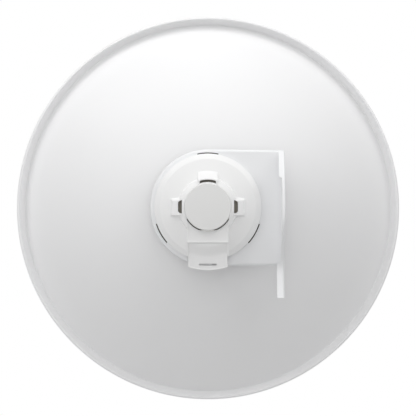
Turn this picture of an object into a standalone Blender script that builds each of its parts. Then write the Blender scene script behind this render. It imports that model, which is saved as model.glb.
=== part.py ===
"""Wireless bridge dish antenna: a 420 mm point-to-point dish with its feed and side bracket.

The pieces are drawn as someone behind the dish sees them: x to the right, y up and z
towards that person, with z = 0 at the rear edge of the rim. The empty dish_axis turns
this drawing into the part's own frame, whose origin lies on the bracket's outer face.
"""
import math

import bmesh
import bpy
from mathutils import Matrix, Vector

MM = 0.001
GAP = 0.3 * MM

# Where the dish axis and the rim plane lie, seen from the bracket's outer face
AXIS_TO_FACE = 80.4 * MM
RIM_TO_ORIGIN = 110.0 * MM

# Dish reflector
DISH_RADIUS = 210.0 * MM
CREASE_RADIUS = 201.8 * MM
FOCAL_LENGTH = 126.7 * MM
VERTEX_HEIGHT = 72.0 * MM
DISH_SHEET = 1.5 * MM
DISH_HOLE = 25.5 * MM
LIP_ANGLE = math.radians(58.0)
HEM_RADIUS = 1.7 * MM
DISH_RINGS = 13
DISH_STEPS = 72

# Mounting bracket: a tray behind the dish, folded into a side wing
PLATE_REAR = 92.0 * MM
BRACKET_SHEET = 2.4 * MM
PLATE_RADIUS = 61.0 * MM
PLATE_RIGHT = 77.0 * MM
PLATE_TOP = 60.1 * MM
PLATE_FOOT = -61.5 * MM
PLATE_FOOT_START = 20.0 * MM
SKIRT_DEPTH = 14.0 * MM
SKIRT_ROUND = 3.0 * MM
PLATE_HOLE = 27.0 * MM
FOLD_INNER = 1.0 * MM
NEST = 0.05 * MM
WING_BOTTOM = -95.1 * MM
WING_BEND = 2.6 * MM
LEG_FRONT = 62.0 * MM
LEG_CORNER = 8.0 * MM
PIVOT = (18.0 * MM, 110.0 * MM)
PIVOT_HOLE = 4.3 * MM
SLOT_RADIUS = 98.0 * MM
SLOT_ANGLES = (196.0, 205.0)

# Rear edge of the wing at its turning points, top to foot: height up, and height behind the rim
WING_EDGE = [
    (59.4, 99.0), (38.0, 113.5), (27.0, 119.5), (14.0, 124.5), (0.0, 127.5), (-14.0, 128.0),
    (-26.0, 123.5), (-38.0, 115.0), (-50.0, 106.0), (-58.0, 101.0), (-66.0, 99.5),
    (-78.0, 102.0), (-95.1, 108.0),
]
WING_STATIONS = 27

# Inner edge of the wing's lip: a wide upper lip, a narrow middle and a wide lower lip
UPPER_LIP_EDGE = 74.2 * MM
UPPER_LIP_FOOT = 30.9 * MM
NARROW_LIP_EDGES = (77.5 * MM, 76.2 * MM)
NARROW_LIP_TURN = -5.0 * MM
LOWER_LIP_EDGE = 72.6 * MM
LOWER_LIP_HEAD = -59.2 * MM
LIP_END = 0.8 * MM

# Slots in the plate where the housing's hooks pass: first and last angle, in degrees
HOOK_SLOTS = [(78.8, 101.2), (198.0, 221.0), (318.5, 342.0)]
HOOK_SLOT_INNER = 54.6 * MM
HOOK_SLOT_OUTER = 57.6 * MM

# Hub spacer between the dish and the bracket, and the four bolts through it
SPACER_INNER = 26.5 * MM
SPACER_OUTER = 50.0 * MM
BOLT_CIRCLE = 40.0 * MM
BOLT_SHANK = 2.5 * MM
BOLT_HOLE = 2.8 * MM
BOLT_HEAD = 4.5 * MM
BOLT_HEAD_DEPTH = 3.2 * MM
BOLT_HEAD_REST = 66.2 * MM
NUT_RADIUS = 4.6 * MM
NUT_HEIGHT = 4.0 * MM
BOLT_ANGLES = [45.0, 135.0, 225.0, 315.0]

# Rear housing: chamfered edge, shallow cone, and a raised collar around the feed
HOUSING_RADIUS = 56.3 * MM
HOUSING_WALL = 2.0 * MM
EDGE_TOP = 97.6 * MM
CHAMFER_RADIUS = 50.5 * MM
CHAMFER_TOP = 101.5 * MM
CONE_RADIUS = 31.3 * MM
CONE_TOP = 107.0 * MM
COLLAR_TOP = 113.2 * MM
COLLAR_CREST = 25.0 * MM
COLLAR_EDGE = (30.3 * MM, 110.8 * MM)
COLLAR_BORE = 24.4 * MM
TOP_WINDOW = (26.4 * MM, 28.9 * MM)
BOSS_FOOT = 103.4 * MM

# Ramp over the top window: width, height, and the radii of its crest and its outer end
TOP_BOSS = (20.8 * MM, 113.5 * MM, 29.7 * MM, 37.9 * MM)

# Blocks beside the side windows: inner and outer end, height of the outer end, lower and upper edge
SIDE_BLOCK = (27.0 * MM, 37.5 * MM, 107.4 * MM, -8.7 * MM, 6.9 * MM)
SEAL_HEIGHT = 5.0 * MM
LATCH_HEIGHT = 5.0 * MM

# Feed unit: the radio body through the hub, with its flat end cap at the rear
FEED_RADIUS = 24.0 * MM
CAP_RADIUS = 25.3 * MM
CAP_EDGE = (1.6 * MM, 3.1 * MM)
CAP_TOP = 121.5 * MM
CAP_BASE = 118.0 * MM
FEED_FRONT = 56.0 * MM
TUBE_RADIUS = 20.5 * MM
TUBE_FRONT = -20.0 * MM
RADOME_RADIUS = 30.0 * MM
RADOME_FRONT = -60.0 * MM
SPLASH_RADIUS = 31.5 * MM
SPLASH_FRONT = -63.0 * MM
FRONT_CAP_RADIUS = 33.0 * MM
FRONT_CAP_SIDE = 3.5 * MM
FRONT_CAP_END = -76.0 * MM
FRONT_COLLAR_RADIUS = 34.0 * MM
FRONT_COLLAR_DEPTH = 6.0 * MM

# Port hood and port cover, the raised strip that runs down from the cap
HOOD_HALF = 22.0 * MM
HOOD_TOP = 115.5 * MM
HOOD_WALL = 2.0 * MM
HOOD_START = -10.3 * MM
STEP_Y = -36.6 * MM
COVER_HALVES = (20.6 * MM, 20.4 * MM)
COVER_HIGH = 114.7 * MM
COVER_LOW = 111.6 * MM
COVER_DROOP = 0.07
COVER_FALL = (39.5 * MM, 52.5 * MM)
COVER_END = 66.2 * MM
COVER_WALL = 1.8 * MM
RAIL_STATIONS = 8
PULL_SLOT = (59.4 * MM, 61.9 * MM)
PULL_SLOT_HALVES = (9.3 * MM, 9.0 * MM)
OUTLET_HALF = 4.5 * MM
OUTLET_TOP = 100.5 * MM

# Network socket inside the strip: its shell and its opening
JACK_FACE = STEP_Y - 1.0 * MM
JACK_HALF = 8.0 * MM
JACK_HEIGHTS = (98.6 * MM, 111.6 * MM)
JACK_ROOM_HALF = 5.8 * MM
JACK_ROOM_HEIGHTS = (100.8 * MM, 109.4 * MM)
JACK_ROOM_END = -27.0 * MM


for old in list(bpy.data.objects):
    bpy.data.objects.remove(old, do_unlink=True)

part = bpy.data.collections.new("wireless_bridge_dish_antenna")
bpy.context.scene.collection.children.link(part)
cutters = bpy.data.collections.new("cutters")
bpy.context.scene.collection.children.link(cutters)

dish_axis = bpy.data.objects.new("dish_axis", None)
dish_axis.location = (-AXIS_TO_FACE, RIM_TO_ORIGIN, 0.0)
dish_axis.rotation_euler = (math.pi / 2, 0.0, 0.0)
part.objects.link(dish_axis)


def material(name, colour, roughness, metallic=0.0):
    """Principled material in one plain finish."""
    made = bpy.data.materials.new(name)
    made.use_nodes = True
    shader = made.node_tree.nodes["Principled BSDF"]
    shader.inputs["Base Color"].default_value = (*colour, 1.0)
    shader.inputs["Roughness"].default_value = roughness
    shader.inputs["Metallic"].default_value = metallic
    made.diffuse_color = (*colour, 1.0)
    return made


COATED_DISH = material("white_dish_coating", (0.80, 0.81, 0.82), 0.45)
COATED_STEEL = material("white_bracket_coating", (0.79, 0.80, 0.82), 0.42)
SHELL_PLASTIC = material("white_shell_plastic", (0.84, 0.84, 0.84), 0.40)
CAP_PLASTIC = material("light_grey_cap_plastic", (0.68, 0.68, 0.67), 0.50)
FEED_PLASTIC = material("white_feed_plastic", (0.80, 0.80, 0.79), 0.42)
DARK_RUBBER = material("dark_seal_rubber", (0.035, 0.028, 0.020), 0.75)
DARK_PLASTIC = material("dark_latch_plastic", (0.045, 0.038, 0.030), 0.60)
BRIGHT_METAL = material("bright_plated_steel", (0.62, 0.62, 0.60), 0.32, 1.0)
SPLASH_METAL = material("spun_aluminium", (0.75, 0.75, 0.76), 0.35, 1.0)


def place(name, mesh, finish=None):
    """Object for a mesh on the dish axis: a piece if it has a finish, else a cutter."""
    made = bpy.data.objects.new(name, mesh)
    made.parent = dish_axis
    if finish is None:
        cutters.objects.link(made)
        made.hide_render = True
        made.display_type = "WIRE"
    else:
        part.objects.link(made)
        mesh.materials.append(finish)
    return made


def settle(piece):
    """Turn a piece and its modifiers into a plain mesh, smooth except at its real edges."""
    bpy.context.view_layer.update()
    graph = bpy.context.evaluated_depsgraph_get()
    mesh = bpy.data.meshes.new_from_object(piece.evaluated_get(graph), depsgraph=graph)
    piece.modifiers.clear()
    piece.data = mesh
    work = bmesh.new()
    work.from_mesh(mesh)
    bmesh.ops.remove_doubles(work, verts=work.verts, dist=0.00001)
    bmesh.ops.dissolve_degenerate(work, edges=work.edges, dist=0.00001)
    work.to_mesh(mesh)
    work.free()
    mesh.shade_smooth()
    mesh.set_sharp_from_angle(angle=math.radians(28.0))
    return piece


def combine(piece, tool, operation="DIFFERENCE"):
    """Cut, join or intersect a piece with a tool."""
    step = piece.modifiers.new(tool.name, "BOOLEAN")
    step.operation = operation
    step.solver = "EXACT"
    step.object = tool
    return settle(piece)


def turned(name, profile, finish=None, steps=48, closed=True):
    """Solid of revolution about the dish axis; the profile runs down its outer side."""
    mesh = bpy.data.meshes.new(name)
    points = [(radius, 0.0, height) for radius, height in profile]
    edges = [(i, i + 1) for i in range(len(points) - 1)]
    if closed:
        edges.append((len(points) - 1, 0))
    mesh.from_pydata(points, edges, [])
    made = place(name, mesh, finish)
    spin = made.modifiers.new("spin", "SCREW")
    spin.axis = "Z"
    spin.steps = steps
    spin.render_steps = steps
    spin.use_merge_vertices = True
    spin.merge_threshold = 0.00005
    spin.use_smooth_shade = True
    return settle(made)


def flat(name, outline, low, high, finish=None, along="Z"):
    """Flat outline given a thickness along one axis.

    The outline is (x, y) for Z, (x, z) for Y and (y, z) for X.
    """
    curve = bpy.data.curves.new(name, "CURVE")
    curve.dimensions = "2D"
    curve.fill_mode = "BOTH"
    curve.extrude = (high - low) / 2
    spline = curve.splines.new("POLY")
    spline.points.add(len(outline) - 1)
    for point, (u, v) in zip(spline.points, outline):
        point.co = (u, v, 0.0, 1.0)
    spline.use_cyclic_u = True
    drawn = bpy.data.objects.new(name + "_outline", curve)
    bpy.context.scene.collection.objects.link(drawn)
    bpy.context.view_layer.update()
    graph = bpy.context.evaluated_depsgraph_get()
    mesh = bpy.data.meshes.new_from_object(drawn.evaluated_get(graph), depsgraph=graph)
    bpy.data.objects.remove(drawn, do_unlink=True)
    middle = (low + high) / 2
    turn = {
        "X": Matrix(((0, 0, 1, middle), (1, 0, 0, 0), (0, 1, 0, 0), (0, 0, 0, 1))),
        "Y": Matrix(((1, 0, 0, 0), (0, 0, -1, middle), (0, 1, 0, 0), (0, 0, 0, 1))),
        "Z": Matrix.Translation((0, 0, middle)),
    }[along]
    work = bmesh.new()
    work.from_mesh(mesh)
    bmesh.ops.remove_doubles(work, verts=work.verts, dist=0.000001)
    bmesh.ops.transform(work, matrix=turn, verts=work.verts)
    bmesh.ops.recalc_face_normals(work, faces=work.faces)
    work.to_mesh(mesh)
    work.free()
    mesh.materials.clear()
    return place(name, mesh, finish)


def box(name, x, y, z, finish=None):
    """Box between the given pairs of x, y and z."""
    work = bmesh.new()
    size = Vector((x[1] - x[0], y[1] - y[0], z[1] - z[0]))
    centre = Vector((x[0] + x[1], y[0] + y[1], z[0] + z[1])) / 2
    bmesh.ops.create_cube(work, size=1.0)
    bmesh.ops.scale(work, vec=size, verts=work.verts)
    bmesh.ops.translate(work, vec=centre, verts=work.verts)
    mesh = bpy.data.meshes.new(name)
    work.to_mesh(mesh)
    work.free()
    return place(name, mesh, finish)


def rod(name, radius, low, high, at=(0.0, 0.0), sides=24, finish=None, end_radius=None):
    """Cylinder or cone along the dish axis."""
    work = bmesh.new()
    top = radius if end_radius is None else end_radius
    bmesh.ops.create_cone(
        work, cap_ends=True, segments=sides, radius1=radius, radius2=top, depth=high - low
    )
    bmesh.ops.translate(work, vec=(at[0], at[1], (low + high) / 2), verts=work.verts)
    mesh = bpy.data.meshes.new(name)
    work.to_mesh(mesh)
    work.free()
    return place(name, mesh, finish)


def round_edges(piece, width, segments=2, angle=40.0):
    """Rounded edges on every corner sharper than the given angle."""
    step = piece.modifiers.new("round", "BEVEL")
    step.width = width
    step.segments = segments
    step.limit_method = "ANGLE"
    step.angle_limit = math.radians(angle)
    step.use_clamp_overlap = True
    return settle(piece)


def arc(centre, radius, first, last, count):
    """Points along an arc, both ends included, with angles in degrees."""
    points = []
    for i in range(count + 1):
        angle = math.radians(first + (last - first) * i / count)
        points.append((centre[0] + radius * math.cos(angle), centre[1] + radius * math.sin(angle)))
    return points


def sector(name, inner, outer, first, last, low, high):
    """Cutter shaped as a part of a ring around the dish axis."""
    count = 12
    outline = arc((0.0, 0.0), outer, first, last, count) + arc((0.0, 0.0), inner, last, first, count)
    return flat(name, outline, low, high)


def dish_back(radius):
    """Height of the dish's convex side at a radius."""
    return VERTEX_HEIGHT - radius * radius / (4 * FOCAL_LENGTH)


def dish_front(radius):
    """Point on the concave side, one sheet thickness in front of the convex side."""
    normal = Vector((radius / (2 * FOCAL_LENGTH), 1.0)).normalized()
    return Vector((radius, dish_back(radius))) - normal * DISH_SHEET


def lines_meet(start, along, other_start, other_along):
    """Crossing point of two lines in the plane."""
    gap = other_start - start
    scale = gap.cross(other_along) / along.cross(other_along)
    return start + along * scale


def dish_profile():
    """Paraboloid sheet, the lip turned back at its crease, and the rolled hem."""
    lip = Vector((math.cos(LIP_ANGLE), math.sin(LIP_ANGLE)))
    lip_normal = Vector((-lip.y, lip.x))
    crease = Vector((CREASE_RADIUS, dish_back(CREASE_RADIUS)))
    middle = crease - lip_normal * DISH_SHEET / 2
    run = (DISH_RADIUS - HEM_RADIUS - middle.x) / lip.x
    hem = middle + lip * run
    half = DISH_SHEET / 2
    reach = math.sqrt(HEM_RADIUS ** 2 - half ** 2)
    join = -lip * reach + lip_normal * half
    leave = -lip * reach - lip_normal * half
    first = math.degrees(math.atan2(join.y, join.x)) % 360.0
    last = math.degrees(math.atan2(leave.y, leave.x)) % 360.0 - 360.0
    slope = Vector((1.0, -CREASE_RADIUS / (2 * FOCAL_LENGTH))).normalized()
    under = lines_meet(dish_front(CREASE_RADIUS), slope, crease - lip_normal * DISH_SHEET, lip)
    radii = [DISH_HOLE + (CREASE_RADIUS - DISH_HOLE) * i / DISH_RINGS for i in range(DISH_RINGS + 1)]
    back = [(radius, dish_back(radius)) for radius in radii]
    rolled = arc(hem, HEM_RADIUS, first, last, 11)
    front = [tuple(dish_front(radius)) for radius in reversed(radii[:-1])]
    return back + rolled + [tuple(under)] + front


def bolt_places():
    """Centres of the four hub bolts."""
    places = []
    for angle in BOLT_ANGLES:
        turn = math.radians(angle)
        places.append((BOLT_CIRCLE * math.cos(turn), BOLT_CIRCLE * math.sin(turn)))
    return places


def drill_bolt_holes(piece, low, high):
    """Four clearance holes for the hub bolts."""
    for number, at in enumerate(bolt_places(), 1):
        combine(piece, rod(f"{piece.name}_bolt_hole_{number}", BOLT_HOLE, low, high, at, 16))


def make_dish():
    """White spun reflector with its hem and its centre holes."""
    dish = turned("dish_reflector", dish_profile(), COATED_DISH, DISH_STEPS)
    drill_bolt_holes(dish, 60.0 * MM, 80.0 * MM)
    return dish


def make_hub_spacer():
    """Moulded ring that carries the bracket on the back of the dish."""
    low_outer = dish_back(SPACER_OUTER) + GAP
    low_inner = dish_back(SPACER_INNER) + GAP
    low_middle = dish_back(BOLT_CIRCLE) + GAP
    high = PLATE_REAR - BRACKET_SHEET - GAP
    profile = [
        (SPACER_INNER, high), (SPACER_OUTER, high), (SPACER_OUTER, low_outer),
        (BOLT_CIRCLE, low_middle), (SPACER_INNER, low_inner),
    ]
    spacer = turned("hub_spacer", profile, SHELL_PLASTIC, 40)
    drill_bolt_holes(spacer, 60.0 * MM, 95.0 * MM)
    return spacer


def tray():
    """Flat plate with a round left end and a skirt turned towards the dish."""
    work = bmesh.new()
    edge = [(PLATE_RIGHT, PLATE_TOP)] + arc((0.0, 0.0), PLATE_RADIUS, 89.0, 270.0, 30)
    edge += [(PLATE_FOOT_START, PLATE_FOOT), (PLATE_RIGHT, PLATE_FOOT)]
    top = [work.verts.new((x, y, PLATE_REAR)) for x, y in edge]
    work.faces.new(top)
    rim = [work.edges.get((top[i], top[i + 1])) for i in range(len(top) - 1)]
    skirt = bmesh.ops.extrude_edge_only(work, edges=rim)
    lowered = [item for item in skirt["geom"] if isinstance(item, bmesh.types.BMVert)]
    bmesh.ops.translate(work, vec=(0.0, 0.0, -SKIRT_DEPTH), verts=lowered)
    bmesh.ops.recalc_face_normals(work, faces=work.faces)
    if max(work.faces, key=lambda face: face.calc_area()).normal.z < 0:
        bmesh.ops.reverse_faces(work, faces=work.faces)
    mesh = bpy.data.meshes.new("mounting_bracket")
    work.to_mesh(mesh)
    work.free()
    made = place("mounting_bracket", mesh, COATED_STEEL)
    round_edges(made, SKIRT_ROUND, 3, 60.0)
    sheet = made.modifiers.new("sheet", "SOLIDIFY")
    sheet.thickness = BRACKET_SHEET
    sheet.offset = -1.0
    sheet.use_even_offset = True
    return settle(made)


def fold():
    """Bend between the plate and the wing, nested a hair inside both sheets."""
    inner = FOLD_INNER + NEST
    outer = FOLD_INNER + BRACKET_SHEET - NEST
    centre = (PLATE_RIGHT, PLATE_REAR + FOLD_INNER)
    left = PLATE_RIGHT - 6.0 * MM
    rise = PLATE_REAR + 4.0 * MM
    outline = [(left, PLATE_REAR - NEST)]
    outline += arc(centre, inner, -90.0, 0.0, 4)
    outline += [(PLATE_RIGHT + inner, rise), (PLATE_RIGHT + outer, rise)]
    outline += arc(centre, outer, 0.0, -90.0, 6)
    outline += [(left, PLATE_REAR - BRACKET_SHEET + NEST)]
    return flat("wing_fold", outline, PLATE_FOOT + SKIRT_ROUND, PLATE_TOP - SKIRT_ROUND, None, "Y")


def wing_back(y):
    """Height of the wing's rear edge at a height up: a smooth curve through its turning points."""
    points = [(up * MM, back * MM) for up, back in WING_EDGE]
    last = len(points) - 1
    slopes = []
    for i in range(last + 1):
        before = points[max(i - 1, 0)]
        after = points[min(i + 1, last)]
        slopes.append((after[1] - before[1]) / (after[0] - before[0]))
    i = 0
    while i < last - 1 and y < points[i + 1][0]:
        i += 1
    run = points[i + 1][0] - points[i][0]
    t = (y - points[i][0]) / run
    start = points[i][1] * (1 + 2 * t) * (1 - t) ** 2 + slopes[i] * run * t * (1 - t) ** 2
    end = points[i + 1][1] * t * t * (3 - 2 * t) - slopes[i + 1] * run * t * t * (1 - t)
    return start + end


def wing_stations():
    """Heights at which the wing's section is drawn, close together where a lip ends."""
    top = WING_EDGE[0][0] * MM
    ends = [UPPER_LIP_FOOT, LOWER_LIP_HEAD]
    stations = [top + (WING_BOTTOM - top) * i / WING_STATIONS for i in range(WING_STATIONS + 1)]
    stations = [y for y in stations if min(abs(y - end) for end in ends) > 2.5 * LIP_END]
    stations += [end + side * LIP_END for end in ends for side in (-1.0, 1.0)]
    return sorted(stations, reverse=True)


def lip_edge(y):
    """Inner edge of the wing's rear lip at a height."""
    if y > UPPER_LIP_FOOT:
        return UPPER_LIP_EDGE
    if y < LOWER_LIP_HEAD:
        return LOWER_LIP_EDGE
    wide, narrow = NARROW_LIP_EDGES
    share = max(NARROW_LIP_TURN - y, 0.0) / (NARROW_LIP_TURN - LOWER_LIP_HEAD)
    return wide + (narrow - wide) * share


def wing():
    """Side wing as one bent sheet: the lip, its outer bend and the flat outer face."""
    work = bmesh.new()
    face = AXIS_TO_FACE
    rows = []
    for y in wing_stations():
        z = wing_back(y)
        foot = PLATE_REAR + 1.5 * MM if y > PLATE_FOOT else PLATE_REAR - 4.0 * MM
        section = [(lip_edge(y), z)]
        section += arc((face - WING_BEND, z - WING_BEND), WING_BEND, 90.0, 0.0, 4)
        section.append((face, foot))
        rows.append([work.verts.new((x, y, height)) for x, height in section])
    for upper, lower in zip(rows, rows[1:]):
        for i in range(len(upper) - 1):
            work.faces.new((upper[i], upper[i + 1], lower[i + 1], lower[i]))
    bmesh.ops.recalc_face_normals(work, faces=work.faces)
    if max(work.faces, key=lambda f: f.calc_area()).normal.x < 0:
        bmesh.ops.reverse_faces(work, faces=work.faces)
    mesh = bpy.data.meshes.new("wing_sheet")
    work.to_mesh(mesh)
    work.free()
    made = place("wing_sheet", mesh)
    sheet = made.modifiers.new("sheet", "SOLIDIFY")
    sheet.thickness = BRACKET_SHEET
    sheet.offset = -1.0
    sheet.use_even_offset = True
    return settle(made)


def leg():
    """Foot of the wing that runs forward under the plate."""
    top = PLATE_FOOT - 1.0 * MM
    corner = LEG_CORNER
    bend = LEG_FRONT + corner
    outline = [(top, PLATE_REAR + 4.0 * MM), (top, bend)]
    outline += arc((top - corner, bend), corner, 0.0, -90.0, 5)[1:]
    outline += arc((WING_BOTTOM + corner, bend), corner, -90.0, -180.0, 5)
    outline += [(WING_BOTTOM, PLATE_REAR - 1.0 * MM)]
    outline = [(y + NEST, z) for y, z in outline]
    inner = AXIS_TO_FACE - BRACKET_SHEET + NEST
    return flat("wing_leg", outline, inner, AXIS_TO_FACE - NEST, None, "X")


def elevation_slot():
    """Curved slot around the pivot hole."""
    half = PIVOT_HOLE
    first, last = SLOT_ANGLES
    outline = arc(PIVOT, SLOT_RADIUS + half, first, last, 6)
    tip = arc(PIVOT, SLOT_RADIUS, last, last, 1)[0]
    outline += arc(tip, half, last, last + 180.0, 6)[1:-1]
    outline += arc(PIVOT, SLOT_RADIUS - half, last, first, 6)
    start = arc(PIVOT, SLOT_RADIUS, first, first, 1)[0]
    outline += arc(start, half, first + 180.0, first + 360.0, 6)[1:-1]
    return flat("elevation_slot", outline, 70.0 * MM, 90.0 * MM, None, "X")


def make_bracket():
    """Folded steel bracket: tray, wing, leg, and every hole through them."""
    bracket = tray()
    combine(bracket, fold(), "UNION")
    combine(bracket, wing(), "UNION")
    combine(bracket, leg(), "UNION")
    combine(bracket, elevation_slot())
    pivot = arc(PIVOT, PIVOT_HOLE, 0.0, 345.0, 23)
    combine(bracket, flat("pivot_hole", pivot, 70.0 * MM, 90.0 * MM, None, "X"))
    combine(bracket, rod("plate_hole", PLATE_HOLE, 80.0 * MM, 100.0 * MM, sides=48))
    for number, (first, last) in enumerate(HOOK_SLOTS, 1):
        name = f"hook_slot_{number}"
        combine(bracket, sector(name, HOOK_SLOT_INNER, HOOK_SLOT_OUTER, first, last, 85 * MM, 96 * MM))
    drill_bolt_holes(bracket, 85.0 * MM, 96.0 * MM)
    return bracket


def make_bolts():
    """Four bolts from the concave side, with their nuts behind the plate."""
    for number, at in enumerate(bolt_places(), 1):
        head_low = BOLT_HEAD_REST - BOLT_HEAD_DEPTH
        bolt = rod(f"hub_bolt_{number}", BOLT_HEAD, head_low, BOLT_HEAD_REST, at, 18, BRIGHT_METAL)
        round_edges(bolt, 0.8 * MM, 1, 60.0)
        shank_high = PLATE_REAR + NUT_HEIGHT + 1.5 * MM
        shank = rod(f"bolt_shank_{number}", BOLT_SHANK, BOLT_HEAD_REST - 1.0 * MM, shank_high, at, 12)
        combine(bolt, shank, "UNION")
        drive = rod(f"bolt_drive_{number}", 1.9 * MM, head_low - 1.0 * MM, head_low + 1.6 * MM, at, 6)
        combine(bolt, drive)
        nut_low = PLATE_REAR + GAP
        nut = rod(f"hub_nut_{number}", NUT_RADIUS, nut_low, nut_low + NUT_HEIGHT, at, 6, BRIGHT_METAL)
        combine(nut, rod(f"nut_bore_{number}", BOLT_HOLE, 90.0 * MM, 100.0 * MM, at, 16))


def top_ramp():
    """Raised ramp above the collar, which holds the top window."""
    bore = COLLAR_BORE + NEST
    width, top, crest, outer = TOP_BOSS
    end = CONE_TOP - (outer - CONE_RADIUS) * (CONE_TOP - CHAMFER_TOP) / (CHAMFER_RADIUS - CONE_RADIUS)
    profile = [
        (bore, top), (crest, top), (outer, end + NEST), (outer, BOSS_FOOT), (bore, BOSS_FOOT),
    ]
    ramp = turned("top_ramp", profile, None, 64)
    half = width / 2
    limit = box("top_ramp_limit", (-half, half), (0.0, 60.0 * MM), (90.0 * MM, 120.0 * MM))
    return combine(ramp, limit, "INTERSECT")


def side_block(name, side):
    """Raised block beside the collar, which holds one side window."""
    start, end, end_height, lower, upper = SIDE_BLOCK
    edge, edge_height = COLLAR_EDGE
    fall = (edge_height - end_height) / (end - edge)
    outline = [
        (start, edge_height + fall * (edge - start)), (end, end_height),
        (end + 1.6 * MM, BOSS_FOOT), (start, BOSS_FOOT),
    ]
    return flat(name, [(side * x, z) for x, z in outline], lower, upper, None, "Y")


def top_window():
    """Arched window above the cap."""
    inner, outer = TOP_WINDOW
    outline = arc((0.0, 0.0), outer, 73.5, 106.5, 8) + arc((0.0, 0.0), inner, 110.0, 70.0, 8)
    return flat("top_window", outline, 90.5 * MM, 120.0 * MM)


def side_window(name, side):
    """Window beside the cap, with its outer corners cut off."""
    outline = [(27.3, -6.6), (29.3, -6.6), (31.3, -4.6), (31.3, 4.9), (29.3, 6.6), (27.3, 7.3)]
    return flat(name, [(side * x * MM, y * MM) for x, y in outline], 90.5 * MM, 120.0 * MM)


def make_housing():
    """Round plastic shell behind the plate, with its collar, ramp, side blocks and windows."""
    wall = HOUSING_WALL
    base = PLATE_REAR + GAP
    profile = [
        (COLLAR_BORE, COLLAR_TOP - 0.5 * MM), (COLLAR_CREST, COLLAR_TOP), COLLAR_EDGE,
        (CONE_RADIUS, CONE_TOP), (CHAMFER_RADIUS, CHAMFER_TOP), (HOUSING_RADIUS - 0.5 * MM, EDGE_TOP),
        (HOUSING_RADIUS, EDGE_TOP - 0.8 * MM), (HOUSING_RADIUS, base), (HOUSING_RADIUS - wall, base),
        (HOUSING_RADIUS - wall, EDGE_TOP - 1.4 * MM), (CHAMFER_RADIUS - 1.0 * MM, CHAMFER_TOP - 2.3 * MM),
        (CONE_RADIUS, CONE_TOP - 2.3 * MM), (COLLAR_BORE, CONE_TOP - 2.3 * MM),
    ]
    housing = turned("rear_housing", profile, SHELL_PLASTIC, 64)
    combine(housing, top_ramp(), "UNION")
    combine(housing, side_block("left_block", -1), "UNION")
    combine(housing, side_block("right_block", 1), "UNION")
    combine(housing, top_window())
    combine(housing, side_window("left_window", -1))
    combine(housing, side_window("right_window", 1))
    clear = HOOD_HALF + GAP
    combine(housing, box("strip_gap", (-clear, clear), (-70 * MM, -10 * MM), (90 * MM, 120 * MM)))
    return housing


def make_seal_ring():
    """Dark rubber ring around the feed, seen at the bottom of the windows."""
    low = PLATE_REAR + GAP
    high = low + SEAL_HEIGHT
    outer = 31.5 * MM
    profile = [
        (FEED_RADIUS + GAP, high), (outer - 1.0 * MM, high), (outer, high - 1.0 * MM),
        (outer, low), (FEED_RADIUS + GAP, low),
    ]
    return turned("seal_ring", profile, DARK_RUBBER, 40)


def make_latches():
    """Three dark latch tabs on the feed, behind the windows."""
    low = PLATE_REAR + GAP + SEAL_HEIGHT + GAP
    outline = [(24.4, -5.5), (28.8, -4.5), (29.6, 0.0), (28.8, 4.5), (24.4, 5.5)]
    outline = [(x * MM, y * MM) for x, y in outline]
    for name, angle in (("feed_latch_right", 0.0), ("feed_latch_top", 90.0), ("feed_latch_left", 180.0)):
        latch = flat(name, outline, low, low + LATCH_HEIGHT, DARK_PLASTIC)
        latch.data.transform(Matrix.Rotation(math.radians(angle), 4, "Z"))
        round_edges(latch, 0.5 * MM, 1, 60.0)


def make_feed_body():
    """Radio body that passes through the dish, the spacer, the bracket and the housing."""
    high = CAP_BASE - GAP
    profile = [
        (0.0, high), (FEED_RADIUS - 0.6 * MM, high), (FEED_RADIUS, high - 0.6 * MM),
        (FEED_RADIUS, FEED_FRONT + 6.0 * MM), (FEED_RADIUS - 1.0 * MM, FEED_FRONT + 2.0 * MM),
        (FEED_RADIUS - 3.0 * MM, FEED_FRONT), (0.0, FEED_FRONT),
    ]
    return turned("feed_body", profile, FEED_PLASTIC, 48, False)


def make_end_cap():
    """Flat round cap on the rear end of the feed, bare, with a bevelled edge."""
    inset, drop = CAP_EDGE
    profile = [
        (0.0, CAP_TOP), (CAP_RADIUS - inset, CAP_TOP), (CAP_RADIUS, CAP_TOP - drop),
        (CAP_RADIUS, CAP_BASE), (0.0, CAP_BASE),
    ]
    return turned("end_cap", profile, CAP_PLASTIC, 64, False)


def make_front_collar():
    """Ring that seals the feed on the concave side of the dish."""
    inner = FEED_RADIUS + GAP
    outer = FRONT_COLLAR_RADIUS
    inner_high = dish_front(inner).y - GAP
    outer_high = dish_front(outer).y - GAP
    low = inner_high - FRONT_COLLAR_DEPTH
    profile = [
        (inner, inner_high), (outer, outer_high), (outer, outer_high - 2.0 * MM),
        (inner + 3.0 * MM, low), (inner, low),
    ]
    return turned("front_collar", profile, FEED_PLASTIC, 48)


def make_feed_tube():
    """Slim tube that holds the splash plate at the focus."""
    high = FEED_FRONT - GAP
    profile = [
        (0.0, high), (TUBE_RADIUS, high), (TUBE_RADIUS - 1.5 * MM, TUBE_FRONT + 10.0 * MM),
        (TUBE_RADIUS - 1.5 * MM, TUBE_FRONT), (0.0, TUBE_FRONT),
    ]
    return turned("feed_tube", profile, FEED_PLASTIC, 40, False)


def make_feed_radome():
    """Flared plastic cover between the tube and the splash plate."""
    high = TUBE_FRONT - GAP
    low = RADOME_FRONT
    profile = [(0.0, high), (TUBE_RADIUS - 0.5 * MM, high), (TUBE_RADIUS, high - 1.0 * MM)]
    for i in range(1, 8):
        share = i / 8
        radius = TUBE_RADIUS + (RADOME_RADIUS - TUBE_RADIUS) * share ** 1.8
        profile.append((radius, high - 1.0 * MM + (low - high + 2.0 * MM) * share))
    profile += [(RADOME_RADIUS, low + 1.0 * MM), (RADOME_RADIUS, low), (0.0, low)]
    return turned("feed_radome", profile, FEED_PLASTIC, 40, False)


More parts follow.
